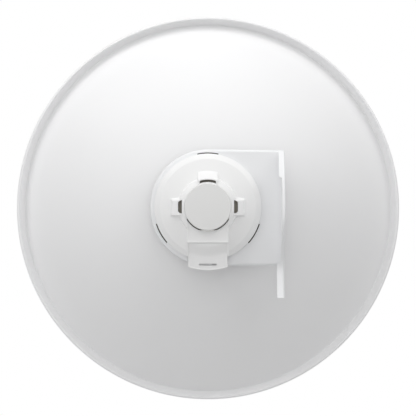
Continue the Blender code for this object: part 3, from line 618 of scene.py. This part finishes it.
def flat_piece(name, outline, low, high, along="Z", finish=None):
    """Flat outline given a thickness along one axis, as a mesh object."""
    curve = bpy.data.curves.new(name, "CURVE")
    curve.dimensions = "2D"
    curve.fill_mode = "BOTH"
    curve.extrude = (high - low) / 2
    spline = curve.splines.new("POLY")
    spline.points.add(len(outline) - 1)
    for point, (u, v) in zip(spline.points, outline):
        point.co = (u, v, 0.0, 1.0)
    spline.use_cyclic_u = True
    drawn = placed(name + "_outline", curve)
    mesh = evaluated_mesh(drawn)
    bpy.data.objects.remove(drawn, do_unlink=True)
    middle = (low + high) / 2
    mesh.transform({
        "X": Matrix(((0, 0, 1, middle), (1, 0, 0, 0), (0, 1, 0, 0), (0, 0, 0, 1))),
        "Y": Matrix(((1, 0, 0, 0), (0, 0, -1, middle), (0, 1, 0, 0), (0, 0, 0, 1))),
        "Z": Matrix.Translation((0, 0, middle)),
    }[along])
    if finish:
        mesh.materials.append(finish)
    return tidy_mesh(placed(name, mesh), FINE_WELD)


def box_piece(name, x, y, z):
    """Box between the given pairs of x, y and z."""
    return flat_piece(name, [(x[0], y[0]), (x[1], y[0]), (x[1], y[1]), (x[0], y[1])], z[0], z[1])


def combine(piece, tool, operation="DIFFERENCE"):
    """Cuts or joins a piece with a tool, which is then removed."""
    step = piece.modifiers.new("combine", "BOOLEAN")
    step.operation = operation
    step.solver = "EXACT"
    step.object = tool
    plain(piece)
    bpy.data.objects.remove(tool, do_unlink=True)
    tidy_mesh(piece, CUT_WELD)


def round_edges(piece, width, segments=2, angle=50.0):
    """Rounds every edge sharper than an angle."""
    step = piece.modifiers.new("round", "BEVEL")
    step.width = width
    step.segments = segments
    step.limit_method = "ANGLE"
    step.angle_limit = math.radians(angle)
    plain(piece)


def band(work, first, second):
    """Faces between two closed loops of points."""
    for i in range(len(first)):
        work.faces.new((first[i - 1], first[i], second[i], second[i - 1]))


def smooth_share(share):
    """Eased step between 0 and 1."""
    share = np.clip(share, 0.0, 1.0)
    return share * share * (3.0 - 2.0 * share)


def dish_back(radius):
    """Height of the dish's convex side at a radius."""
    return VERTEX_HEIGHT - radius * radius / (4 * FOCAL_LENGTH)


def dish_front(radius):
    """Point on the concave side, one sheet thickness in front of the convex side."""
    normal = Vector((radius / (2 * FOCAL_LENGTH), 1.0)).normalized()
    return Vector((radius, dish_back(radius))) - normal * DISH_SHEET


def lines_meet(start, along, other_start, other_along):
    """Crossing point of two lines in the plane."""
    gap = other_start - start
    return start + along * (gap.cross(other_along) / along.cross(other_along))


def dish_profile():
    """Paraboloid sheet, the lip turned back at its crease, and the rolled hem."""
    lip = Vector((math.cos(LIP_ANGLE), math.sin(LIP_ANGLE)))
    lip_normal = Vector((-lip.y, lip.x))
    crease = Vector((CREASE_RADIUS, dish_back(CREASE_RADIUS)))
    half = DISH_SHEET / 2
    middle = crease - lip_normal * half
    hem = middle + lip * ((DISH_RADIUS - HEM_RADIUS - middle.x) / lip.x)
    reach = math.sqrt(HEM_RADIUS ** 2 - half ** 2)
    join = -lip * reach + lip_normal * half
    leave = -lip * reach - lip_normal * half
    first = math.degrees(math.atan2(join.y, join.x)) % 360.0
    last = math.degrees(math.atan2(leave.y, leave.x)) % 360.0 - 360.0
    slope = Vector((1.0, -CREASE_RADIUS / (2 * FOCAL_LENGTH))).normalized()
    under = lines_meet(dish_front(CREASE_RADIUS), slope, crease - lip_normal * DISH_SHEET, lip)
    step = (CREASE_RADIUS - DISH_HOLE) / DISH_RINGS
    radii = [DISH_HOLE + step * i for i in range(DISH_RINGS + 1)]
    back = [(radius, dish_back(radius)) for radius in radii[:-1]]
    valley = filleted([(*back[-1], 0.0), (*crease, CREASE_ROUNDS[0]), (*(hem + join), 0.0)], False)[1:-1]
    rolled = arc(hem, HEM_RADIUS, first, last, 18)
    front = [tuple(dish_front(radius)) for radius in reversed(radii[:-1])]
    turn = filleted([(*(hem + leave), 0.0), (*under, CREASE_ROUNDS[1]), (*front[0], 0.0)], False)[1:-1]
    return back + valley + rolled + turn + front


def make_dish():
    """White spun reflector with its turned lip and rolled hem."""
    dish = turned("dish_shell", dish_profile(), DISH_COAT, DISH_STEPS)
    hand_in(dish, "dish_coating", "dish_reflector")


def make_hub_spacer():
    """Moulded ring with ribs, between the dish and the bracket."""
    high = PLATE_REAR - BRACKET_SHEET - GAP
    core = SPACER_CORE
    outer_low = dish_back(SPACER_OUTER)
    ring = turned("hub_spacer_ring", filleted([
        (SPACER_INNER, high, 0.3 * MM), (SPACER_OUTER, high, 0.6 * MM),
        (SPACER_OUTER, high - 2.4 * MM, 0.6 * MM), (core, high - 3.2 * MM, 1.0 * MM),
        (core, dish_back(core) + 3.4 * MM, 1.0 * MM), (SPACER_OUTER, outer_low + 3.0 * MM, 0.6 * MM),
        (SPACER_OUTER, outer_low + GAP, 0.4 * MM), (SPACER_INNER, dish_back(SPACER_INNER) + GAP, 0.3 * MM),
    ]), SHELL_PLASTIC, 160)
    hand_in(ring, "shell_plastic", "hub_spacer")
    half = SPACER_RIB / 2
    rib = box_piece("rib", (core - 1.0 * MM, SPACER_OUTER - 0.5 * MM), (-half, half),
                    (outer_low + 1.0 * MM, high - 1.0 * MM))
    round_edges(rib, 0.4 * MM)
    hand_in(ring_of("hub_spacer_ribs", rib, 24, 0.0, 7.5, SHELL_PLASTIC), "shell_plastic")


def bracket_tray():
    """Flat plate with a round left end and a skirt turned towards the dish."""
    work = bmesh.new()
    edge = [(PLATE_RIGHT, PLATE_TOP)] + arc((0.0, 0.0), PLATE_RADIUS, 89.0, 270.0, 72)
    edge += [(PLATE_FOOT_START, PLATE_FOOT), (PLATE_RIGHT, PLATE_FOOT)]
    top = [work.verts.new((x, y, PLATE_REAR)) for x, y in edge]
    work.faces.new(top)
    rim = [work.edges.get((top[i], top[i + 1])) for i in range(len(top) - 1)]
    skirt = bmesh.ops.extrude_edge_only(work, edges=rim)
    lowered = [item for item in skirt["geom"] if isinstance(item, bmesh.types.BMVert)]
    bmesh.ops.translate(work, vec=(0.0, 0.0, -SKIRT_DEPTH), verts=lowered)
    bmesh.ops.recalc_face_normals(work, faces=work.faces)
    if max(work.faces, key=lambda face: face.calc_area()).normal.z < 0:
        bmesh.ops.reverse_faces(work, faces=work.faces)
    tray = object_from(work, "bracket_sheet")
    round_edges(tray, SKIRT_ROUND, 6, 60.0)
    sheet = tray.modifiers.new("sheet", "SOLIDIFY")
    sheet.thickness = BRACKET_SHEET
    sheet.offset = -1.0
    sheet.use_even_offset = True
    return tidy_mesh(plain(tray), FINE_WELD)


def bracket_fold():
    """Bend between the plate and the wing, nested a hair inside both sheets."""
    inner = FOLD_INNER + NEST
    outer = FOLD_INNER + BRACKET_SHEET - NEST
    centre = (PLATE_RIGHT, PLATE_REAR + FOLD_INNER)
    left = PLATE_RIGHT - FOLD_REACH[0]
    rise = PLATE_REAR + FOLD_REACH[1]
    outline = [(left, PLATE_REAR - NEST)]
    outline += arc(centre, inner, -90.0, 0.0, 8)
    outline += [(PLATE_RIGHT + inner, rise), (PLATE_RIGHT + outer, rise)]
    outline += arc(centre, outer, 0.0, -90.0, 12)
    outline += [(left, PLATE_REAR - BRACKET_SHEET + NEST)]
    return flat_piece("fold", outline, PLATE_FOOT + SKIRT_ROUND, PLATE_TOP - SKIRT_ROUND, "Y")


def wing_back(y):
    """Height of the wing's rear edge at a height up: a smooth curve through its turning points."""
    points = [(up * MM, back * MM) for up, back in WING_EDGE]
    padded = points[:1] + points + points[-1:]
    slopes = [(after[1] - before[1]) / (after[0] - before[0]) for before, after in zip(padded, padded[2:])]
    i = sum(y < up for up, _ in points[1:-1])
    (up, back), (next_up, next_back) = points[i:i + 2]
    run = next_up - up
    t = (y - up) / run
    start = back * (1 + 2 * t) * (1 - t) ** 2 + slopes[i] * run * t * (1 - t) ** 2
    end = next_back * t * t * (3 - 2 * t) - slopes[i + 1] * run * t * t * (1 - t)
    return start + end


def wing_stations():
    """Heights at which the wing's section is drawn, close together where a lip ends."""
    top = WING_EDGE[0][0] * MM
    ends = [UPPER_LIP_FOOT, LOWER_LIP_HEAD]
    stations = [top + (WING_BOTTOM - top) * i / WING_STATIONS for i in range(WING_STATIONS + 1)]
    stations = [y for y in stations if min(abs(y - end) for end in ends) > 1.5 * LIP_END]
    stations += [end + side * LIP_END for end in ends for side in (-1.0, 1.0)]
    return sorted(stations, reverse=True)


def lip_edge(y):
    """Inner edge of the wing's rear lip at a height."""
    if y > UPPER_LIP_FOOT:
        return UPPER_LIP_EDGE
    if y < LOWER_LIP_HEAD:
        return LOWER_LIP_EDGE
    wide, narrow = NARROW_LIP_EDGES
    share = max(NARROW_LIP_TURN - y, 0.0) / (NARROW_LIP_TURN - LOWER_LIP_HEAD)
    return wide + (narrow - wide) * share


def wing_section(y):
    """Closed section of the wing at a height: its lip, the outer bend and the flat outer face."""
    z = wing_back(y)
    inner = WING_FACE - BRACKET_SHEET
    beside_plate, below_plate = WING_FOOT
    foot = PLATE_REAR + (beside_plate if y > PLATE_FOOT else below_plate)
    turn, run = WING_BEND_TURN
    tight, wide = WING_BENDS
    bend = tight + (wide - tight) * float(smooth_share((turn - y) / run))
    section = [(lip_edge(y), z - BRACKET_SHEET), (lip_edge(y), z)]
    section += arc((WING_FACE - bend, z - bend), bend, 90.0, 0.0, 8)
    return section + [(WING_FACE, foot), (inner, foot), (inner, z - BRACKET_SHEET)]


def bracket_wing():
    """Side wing with its rear lip, drawn through its stations from top to foot."""
    work = bmesh.new()
    rows = [[work.verts.new((x, y, height)) for x, height in wing_section(y)] for y in wing_stations()]
    for upper, lower in zip(rows, rows[1:]):
        band(work, upper, lower)
    work.faces.new(rows[0])
    work.faces.new(rows[-1])
    return tidy_mesh(object_from(work, "wing"), FINE_WELD)


def bracket_leg():
    """Foot of the wing that runs forward under the plate."""
    top = PLATE_FOOT - 1.0 * MM
    front = LEG_FRONT + LEG_CORNER
    outline = [(top, PLATE_REAR + 4.0 * MM), (top, front)]
    outline += arc((top - LEG_CORNER, front), LEG_CORNER, 0.0, -90.0, 10)[1:]
    outline += arc((WING_BOTTOM + LEG_CORNER, front), LEG_CORNER, -90.0, -180.0, 10)
    outline += [(WING_BOTTOM, LEG_REAR)]
    outline = [(y + NEST, z) for y, z in outline]
    return flat_piece("leg", outline, WING_FACE - BRACKET_SHEET + NEST, WING_FACE - NEST, "X")


def slot_outline():
    """Outline of the curved elevation slot around the pivot hole."""
    first, last = SLOT_ANGLES
    start, end = arc(PIVOT, SLOT_RADIUS, first, last, 1)
    outline = arc(PIVOT, SLOT_RADIUS + PIVOT_HOLE, first, last, 12)
    outline += arc(end, PIVOT_HOLE, last, last + 180.0, 12)[1:-1]
    outline += arc(PIVOT, SLOT_RADIUS - PIVOT_HOLE, last, first, 12)
    return outline + arc(start, PIVOT_HOLE, first + 180.0, first + 360.0, 12)[1:-1]


def make_bracket():
    """Folded steel bracket with rounded edges and all its holes."""
    bracket = bracket_tray()
    for sheet in (bracket_fold(), bracket_wing(), bracket_leg()):
        combine(bracket, sheet, "UNION")
    for outline in (slot_outline(), arc(PIVOT, PIVOT_HOLE, 0.0, 352.5, 47)):
        combine(bracket, flat_piece("wing_cut", outline, *WING_CUT, "X"))
    centre = (0.0, 0.0)
    outlines = [arc(centre, PLATE_HOLE, 0.0, 357.0, 119)]
    inner, outer = HOOK_SLOT_RADII
    for first, last in HOOK_SLOTS:
        outlines.append(arc(centre, outer, first, last, 24) + arc(centre, inner, last, first, 24))
    for outline in outlines:
        combine(bracket, flat_piece("plate_cut", outline, *PLATE_CUT))
    bracket.data.materials.clear()
    bracket.data.materials.append(BRACKET_COAT)
    smooth(bracket, 30.0)
    hand_in(bracket, "bracket_coating", "mounting_bracket")


def make_slot_shade_ring():
    """Dark ring under the plate that paints the shade seen through the curved slots beside the shell."""
    inner, outer = SLOT_SHADE_RING
    high = PLATE_REAR - BRACKET_SHEET - GAP
    low = high - SLOT_SHADE_DEPTH
    ring = turned("slot_shade_ring", filleted([
        (inner, high, 0.2 * MM), (outer, high, 0.4 * MM), (outer, low, 0.4 * MM), (inner, low, 0.2 * MM),
    ]), SLOT_SHADE_PAINT)
    hand_in(ring, "seal_rubber")


def soft_max(first, second, blend):
    """Larger of two heights, with a fillet of the given size where they cross."""
    near = np.maximum(blend - np.abs(first - second), 0.0)
    return np.maximum(first, second) + near * near / (4 * blend)


def soft_min(first, second, blend):
    """Smaller of two heights, with a rounded edge where they cross."""
    return -soft_max(-first, -second, blend)


def line(radius, first, last):
    """Height at a radius on the straight line through two (radius, height) points."""
    return first[1] + (last[1] - first[1]) * (radius - first[0]) / (last[0] - first[0])


def housing_height(x, y):
    """Height of the shell's outer face: chamfer, cone, collar and the three ramps."""
    radius = np.hypot(x, y)
    cone_foot = (CHAMFER_RADIUS, CHAMFER_TOP)
    cone_head = (CONE_RADIUS, CONE_TOP)
    cone = line(radius, cone_foot, cone_head)
    edge = line(radius, (HOUSING_RADIUS - HOUSING_ROUND, EDGE_TOP), cone_foot)
    slope = line(radius, (COLLAR_CREST, COLLAR_TOP), COLLAR_EDGE)
    collar = soft_min(slope, line(radius, COLLAR_EDGE, cone_head), COLLAR_EDGE_FILLET)
    collar = soft_min(collar, COLLAR_TOP + 0.0 * radius, COLLAR_FILLET)
    face = soft_max(soft_min(edge, cone, CHAMFER_FILLET), collar, COLLAR_FILLET)
    half, top, crest, outer = TOP_BOSS
    end = line(outer, cone_foot, cone_head)
    ramp = soft_min(line(radius, (crest, top), (outer, end)), top + 0.0 * radius, TOP_BOSS_FILLETS[0])
    boss = soft_min(ramp, ramp + (half - np.abs(x)) * TOP_BOSS_SIDE, TOP_BOSS_FILLETS[1])
    face = soft_max(face, np.where(y > TOP_BOSS_START, boss, 0.0), BOSS_FOOT_FILLET)
    end, end_height, upper, lower = SIDE_BOSS
    upper_side, lower_side, outer_side = SIDE_BOSS_SIDES
    across = np.abs(x)
    ramp = line(across, COLLAR_EDGE, (end, end_height))
    boss = soft_min(ramp + (upper - y) * upper_side, ramp + (y - lower) * lower_side, SIDE_BOSS_FILLETS[0])
    boss = soft_min(ramp, boss, SIDE_BOSS_FILLETS[1])
    boss = soft_min(boss, ramp + (end - across) * outer_side, SIDE_BOSS_FILLETS[2])
    return soft_max(face, np.where(across > SIDE_BOSS_START, boss, 0.0), BOSS_FOOT_FILLET)


def housing_shell():
    """Closed round shell under the housing's face, open in the middle, with a flat foot."""
    radii = [COLLAR_BORE, COLLAR_BORE + 0.3 * MM]
    for first, last, apart in HOUSING_RINGS:
        radii += list(np.arange(first, last, apart))
    radii += HOUSING_EDGE_RINGS + [HOUSING_RADIUS]
    angles = np.arange(HOUSING_STEPS) * 2 * math.pi / HOUSING_STEPS
    base = PLATE_REAR + GAP
    inner = HOUSING_RADIUS - HOUSING_WALL
    work = bmesh.new()

    def ring(radius, level):
        x = radius * np.cos(angles)
        y = radius * np.sin(angles)
        return [work.verts.new(point) for point in zip(x, y, level(x, y))]

    def foot(x, y):
        return np.full(HOUSING_STEPS, base)

    def ceiling(x, y):
        return np.maximum(housing_height(x, y) - HOUSING_WALL * SLOPING_WALL, base + LOWEST_CEILING)

    within = [radius for radius in radii if radius < inner - 0.2 * MM]
    rings = [ring(radius, housing_height) for radius in radii]
    rings += [ring(HOUSING_RADIUS, foot), ring(inner, foot)]
    rings += [ring(radius, ceiling) for radius in reversed(within[:1] + within[3:-1:4] + within[-1:])]
    for i in range(len(rings)):
        band(work, rings[i - 1], rings[i])
    return tidy_mesh(object_from(work, "rear_shell", SHELL_PLASTIC), FINE_WELD)


def top_window(inset=0.0):
    """Outline of the arched window above the cap."""
    inner, outer = TOP_WINDOW
    lean = math.degrees(inset / outer)
    outer_right, outer_left, inner_left, inner_right = TOP_WINDOW_ENDS
    outline = arc((0.0, 0.0), outer - inset, outer_right + lean, outer_left - lean, 24)
    return outline + arc((0.0, 0.0), inner + inset, inner_left - lean, inner_right + lean, 24)


def side_window(side, inset=0.0):
    """Outline of the window beside the cap, with its outer corners cut off and rounded."""
    middle = SIDE_WINDOW[1][0]
    corners = []
    for x, y, radius in SIDE_WINDOW:
        inward = (x < middle) - (x > middle)
        corners.append((x * MM + inward * inset, y * MM - math.copysign(inset, y), radius * MM))
    return [(side * x + SIDE_WINDOW_SHIFT[side], y) for x, y in filleted(corners)]


def make_window_tabs():
    """Dark tabs of the latches, seen inside the three windows."""
    high, low = WINDOW_TAB_TOPS
    tabs = [
        ("top_window_tab", top_window(GAP), high), ("left_window_tab", side_window(-1, GAP), low),
        ("right_window_tab", side_window(1, GAP), low),
    ]
    for name, outline, top in tabs:
        tab = flat_piece(name, outline, WINDOW_TAB_FOOT, top, "Z", LATCH_PLASTIC)
        hand_in(smooth(tab), "latch_plastic")


def make_housing():
    """Round plastic shell with its collar, ramps and windows."""
    housing = housing_shell()
    for outline in (top_window(), side_window(-1), side_window(1)):
        combine(housing, flat_piece("window", outline, *HOUSING_CUT))
    clear = HOOD_HALF + SLIT
    combine(housing, box_piece("strip_gap", (-clear, clear), STRIP_CUT, HOUSING_CUT))
    smooth(housing, 35.0)
    hand_in(housing, "shell_plastic", "rear_housing")


def grid_cover(name, across, along, height, half, wall, base, finish):
    """Closed cover over a strip: a face, walls down to the base, and a hollow underneath.

    across holds shares of the half width, half(y) gives that width and along(x) the strip's ends.
    """
    wide = len(across)
    right = wide - 1
    end = ROWS_ALONG - 1
    edge = [(i, 0) for i in range(wide)] + [(right, j) for j in range(1, ROWS_ALONG)]
    edge += [(i, end) for i in range(right - 1, -1, -1)] + [(0, j) for j in range(end - 1, 0, -1)]
    work = bmesh.new()

    def face_and_foot(inset):
        face = []
        for share in across:
            start, stop = along(share * half(STEP_Y))
            ys = np.linspace(start - inset, stop + inset, ROWS_ALONG)
            xs = [share * (half(y) - inset) for y in ys]
            face.append([work.verts.new((x, y, float(height(x, y)) - inset)) for x, y in zip(xs, ys)])
        for i in range(right):
            for j in range(end):
                work.faces.new((face[i][j], face[i + 1][j], face[i + 1][j + 1], face[i][j + 1]))
        rim = [face[i][j] for i, j in edge]
        return rim, [work.verts.new((*vertex.co.xy, base)) for vertex in rim]

    outer_rim, outer_foot = face_and_foot(0.0)
    inner_rim, inner_foot = face_and_foot(wall)
    band(work, outer_rim, outer_foot)
    band(work, outer_foot, inner_foot)
    band(work, inner_foot, inner_rim)
    return tidy_mesh(object_from(work, name, finish), FINE_WELD)


def edge_shares(half, fine, count):
    """Shares of a half width, packed closely near both edges."""
    near = 1.0 - np.array([0.0, 0.1, 0.25, 0.45, 0.7, 1.0, 1.3, 1.7, 2.1, 2.6, 3.2]) * fine / half
    inner = np.linspace(0.0, near[-1], count)[:-1]
    right = np.concatenate([inner, near[::-1]])
    return np.concatenate([-right[:0:-1], right])


def rounded_down(distance, radius):
    """How far a face drops at a distance inside its edge, for a rounded edge."""
    inside = np.clip(radius - distance, 0.0, radius)
    return radius - np.sqrt(radius ** 2 - inside ** 2)


def hood_height(x, y):
    """Face of the fixed hood, with a rounded rail along each side."""
    edge = HOOD_HALF - abs(x)
    foot = y - STEP_Y
    rise = RAIL_HEIGHT * smooth_share((RAIL_WIDTH + RAIL_FLANK - min(edge, foot)) / RAIL_FLANK)
    return HOOD_TOP + rise - rounded_down(edge, HOOD_ROUND) - rounded_down(foot, STEP_ROUND)


def cover_half(y):
    """Half width of the cover, which narrows a little towards its end."""
    wide, narrow = COVER_HALVES
    return wide + (narrow - wide) * (STEP_Y - y) / (COVER_END + STEP_Y)


def cover_height(x, y):
    """Face of the removable cover: level, a soft S-shaped fall, level, with a rail on each side."""
    radius = np.hypot(x, y)
    start, end = COVER_FALL
    fall = smooth_share((radius - start) / (end - start))
    face = COVER_HIGH + (COVER_LOW - COVER_HIGH) * fall - COVER_DROOP * (STEP_Y - y)
    edge = min(cover_half(y) - abs(x), COVER_END - radius)
    width, rise, flank = COVER_RAIL
    face += rise * smooth_share((width + flank - edge) / flank)
    return face - rounded_down(edge, COVER_ROUND) - rounded_down(STEP_Y - SLIT - y, STEP_ROUND)


def guide_rail(side):
    """Rail of the hood that runs down beside the cover to the shell's edge."""
    inner = COVER_HALVES[0]
    start = STEP_Y + GUIDE_OVERLAP
    end = -math.sqrt((HOUSING_RADIUS - 0.4 * MM) ** 2 - HOOD_HALF ** 2)
    foot = float(cover_height(inner - 2.0 * MM, end))
    outline = [(start, COVER_HIGH), (STEP_Y, COVER_HIGH), (end, foot), (end, GUIDE_FOOT), (start, GUIDE_FOOT)]
    low, high = sorted((side * inner, side * (HOOD_HALF - SLIT)))
    rail = flat_piece("guide_rail", outline, low, high, "X", SHELL_PLASTIC)
    for vertex in rail.data.vertices:
        if abs(vertex.co.x) < HOOD_HALF - MM:
            vertex.co.x = side * (cover_half(vertex.co.y) + SLIT)
    return rail


def make_port_hood():
    """Fixed upper part of the strip."""
    def ends(x):
        return -math.sqrt(CAP_CLEARANCE ** 2 - x ** 2), STEP_Y

    hood = grid_cover("hood_shell", edge_shares(HOOD_HALF, MM, 10), ends, hood_height, lambda _: HOOD_HALF,
                      HOOD_WALL, HOOD_BASE, SHELL_PLASTIC)
    for side in (-1, 1):
        combine(hood, guide_rail(side), "UNION")
    smooth(hood, 40.0)
    hand_in(hood, "shell_plastic", "port_hood")


def make_port_cover():
    """Removable lower part of the strip, with its pull slot and cable outlet."""
    def ends(x):
        return STEP_Y - SLIT, -math.sqrt(COVER_END ** 2 - x ** 2)

    cover = grid_cover("cover_shell", edge_shares(COVER_HALVES[0], MM, 12), ends, cover_height, cover_half,
                       COVER_WALL, PLATE_REAR + GAP, SHADED_COVER_PLASTIC)
    inner, outer = PULL_SLOT
    wide, narrow = PULL_SLOT_HALVES
    corners = [(-wide, -inner), (wide, -inner), (narrow, -outer), (-narrow, -outer)]
    outline = filleted([(x, y, 0.6 * MM) for x, y in corners])
    combine(cover, flat_piece("pull_slot", outline, 100.0 * MM, 118.0 * MM))
    combine(cover, box_piece("outlet", (-OUTLET_HALF, OUTLET_HALF), (-70.0 * MM, -60.0 * MM), OUTLET_HEIGHTS))
    smooth(cover, 40.0)
    hand_in(cover, "shell_plastic", "port_cover")


def make_end_cap():
    """Flat round rear cap with a rolled edge, left bare."""
    inset, drop = CAP_EDGE
    cap = turned_solid("rear_cap", [
        (0.0, CAP_TOP, 0.0), (CAP_RADIUS - inset, CAP_TOP, 0.3 * MM), (CAP_RADIUS, CAP_TOP - drop, 0.2 * MM),
        (CAP_RADIUS, CAP_BASE, 0.2 * MM), (0.0, CAP_BASE, 0.0),
    ], CAP_PLASTIC, 192)
    hand_in(cap, "cap_plastic", "end_cap")


def make_feed_body():
    """Radio body through the hub."""
    high = CAP_BASE - GAP
    body = turned_solid("radio_body", [
        (0.0, high, 0.0), (FEED_RADIUS, high, 0.8 * MM), (FEED_RADIUS, FEED_FRONT + 5.0 * MM, 2.0 * MM),
        (FEED_RADIUS - 3.0 * MM, FEED_FRONT, 0.8 * MM), (0.0, FEED_FRONT, 0.0),
    ], FEED_PLASTIC)
    hand_in(body, "feed_plastic", "feed_body")


def make_front_collar():
    """Sealing ring on the concave side, with grip ribs around it."""
    inner = FEED_RADIUS + GAP
    high = dish_front(inner).y - GAP
    outer_high = dish_front(FRONT_COLLAR_RADIUS).y - GAP
    ring = turned("front_ring", filleted([
        (inner, high, 0.2 * MM), (FRONT_COLLAR_RADIUS, outer_high, 0.3 * MM),
        (FRONT_COLLAR_RADIUS, outer_high - 2.0 * MM, 0.8 * MM), (inner + 3.0 * MM, high - 6.0 * MM, 1.2 * MM),
        (inner, high - 6.0 * MM, 0.4 * MM),
    ]), FEED_PLASTIC, 160)
    hand_in(ring, "feed_plastic", "front_collar")
    outline = [(radius * MM, high - drop * MM) for radius, drop in GRIP_CORNERS]
    rib = flat_piece("grip", outline, -0.6 * MM, 0.6 * MM, "Y")
    round_edges(rib, 0.25 * MM)
    hand_in(ring_of("front_ring_grips", rib, 36, 0.0, 0.0, FEED_PLASTIC), "feed_plastic")


def make_feed_tube():
    """Slim feed tube with a step and a joint line."""
    high = FEED_FRONT - GAP
    slim = TUBE_RADIUS - 1.5 * MM
    joint = TUBE_RADIUS - 0.5 * MM
    tube = turned_solid("feed_tube_shell", [
        (0.0, high, 0.0), (TUBE_RADIUS, high, 0.6 * MM), (TUBE_RADIUS, high - 6.0 * MM, 0.5 * MM),
        (joint, high - 6.6 * MM, 0.3 * MM), (joint, high - 7.6 * MM, 0.3 * MM),
        (TUBE_RADIUS, high - 8.2 * MM, 0.4 * MM), (slim, TUBE_FRONT + 10.0 * MM, 2.0 * MM),
        (slim, TUBE_FRONT, 0.4 * MM), (0.0, TUBE_FRONT, 0.0),
    ], FEED_PLASTIC)
    hand_in(tube, "feed_plastic", "feed_tube")


def make_feed_radome():
    """Flared cover between the tube and the splash plate."""
    high = TUBE_FRONT - GAP
    low = RADOME_FRONT
    profile = [(0.0, high), (TUBE_RADIUS - 0.8 * MM, high), (TUBE_RADIUS - 0.2 * MM, high - 0.3 * MM),
               (TUBE_RADIUS, high - 1.0 * MM)]
    for i in range(1, DOME_STEPS):
        share = i / DOME_STEPS
        radius = TUBE_RADIUS + (RADOME_RADIUS - TUBE_RADIUS) * share ** FLARE_POWER
        profile.append((radius, high - 1.0 * MM + (low - high + 2.0 * MM) * share))
    profile += [(RADOME_RADIUS, low + 1.0 * MM), (RADOME_RADIUS, low + 0.3 * MM),
                (RADOME_RADIUS - 0.3 * MM, low), (0.0, low)]
    hand_in(turned("feed_flare", profile, FEED_PLASTIC, 128, False), "feed_plastic", "feed_radome")


def make_sub_reflector():
    """Round metal splash plate with a rolled edge."""
    high = RADOME_FRONT - GAP
    plate = turned_solid("splash_plate", [
        (0.0, high, 0.0), (SPLASH_RADIUS, high, 0.6 * MM), (SPLASH_RADIUS, SPLASH_FRONT, 0.6 * MM),
        (0.0, SPLASH_FRONT, 0.0),
    ], SPUN_ALUMINIUM)
    hand_in(plate, "spun_aluminium", "sub_reflector")


def make_front_cap():
    """Shallow domed cap over the splash plate."""
    outer = FRONT_CAP_RADIUS
    high = SPLASH_FRONT - GAP
    side = high - 3.5 * MM
    depth = FRONT_CAP_END - side
    profile = [(0.0, high), (outer - 0.6 * MM, high), (outer - 0.15 * MM, high - 0.2 * MM),
               (outer, high - 0.7 * MM), (outer, side)]
    for i in range(1, DOME_STEPS):
        turn = math.pi / 2 * i / DOME_STEPS
        profile.append((outer * math.cos(turn) ** DOME_POWER, side + depth * math.sin(turn)))
    profile.append((0.0, FRONT_CAP_END))
    hand_in(turned("front_dome", profile, FEED_PLASTIC, 128, False), "feed_plastic", "front_cap")


def make_bolts():
    """Four button-head bolts, each with a flange under its head and a hexagon socket."""
    rest = BOLT_HEAD_REST
    end = PLATE_REAR + 5.5 * MM
    head = turned_solid("bolt", [
        (0.0, rest, 0.0), (BOLT_HEAD, rest, 0.3 * MM), (BOLT_HEAD, rest - 1.0 * MM, 0.6 * MM),
        (3.4 * MM, rest - 2.8 * MM, 1.0 * MM), (2.4 * MM, rest - 3.2 * MM, 0.3 * MM),
        (0.0, rest - 3.2 * MM, 0.0),
    ], PLATED_STEEL, 48)
    hexagon = arc((0.0, 0.0), BOLT_SOCKET, 0.0, 300.0, 5)
    combine(head, flat_piece("socket", hexagon, rest - 5.0 * MM, rest - 1.6 * MM))
    shank = turned_solid("shank", [
        (0.0, end, 0.0), (BOLT_SHANK, end, 0.4 * MM), (BOLT_SHANK, rest - 0.5 * MM, 0.0),
        (0.0, rest - 0.5 * MM, 0.0),
    ], PLATED_STEEL, 32)
    combine(head, shank, "UNION")
    bolts = ring_of("hub_bolts", head, 4, BOLT_CIRCLE, 45.0, PLATED_STEEL)
    hand_in(bolts, "plated_steel", *(f"hub_bolt_{number}" for number in range(1, 5)))


def make_jack():
    """Contacts inside the network socket."""
    work = bmesh.new()
    for i in range(CONTACT_COUNT):
        place = Vector(((i - (CONTACT_COUNT - 1) / 2) * CONTACT_PITCH, *CONTACT_CENTRE))
        bmesh.ops.create_cube(work, size=1.0, matrix=Matrix.LocRotScale(place, None, Vector(CONTACT_SIZE)))
    hand_in(object_from(work, "socket_contacts", CONTACT_GOLD), "plated_steel")


def finish_nodes():
    """Materials of the frame's own nodes that stay in view."""
    finishes = {"seal_ring": WINDOW_SEAL, "ethernet_jack": PLATED_STEEL}
    finishes.update({f"feed_latch_{place}": LATCH_PLASTIC for place in ("top", "left", "right")})
    finishes.update({f"hub_nut_{number}": PLATED_STEEL for number in range(1, 5)})
    for node, finish in finishes.items():
        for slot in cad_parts[node].material_slots:
            slot.material = finish


make_camera()
make_lights()
make_floor()
make_dish()
make_hub_spacer()
make_bracket()
make_slot_shade_ring()
make_housing()
make_window_tabs()
make_port_hood()
make_port_cover()
make_end_cap()
make_feed_body()
make_front_collar()
make_feed_tube()
make_feed_radome()
make_sub_reflector()
make_front_cap()
make_bolts()
make_jack()
finish_nodes()
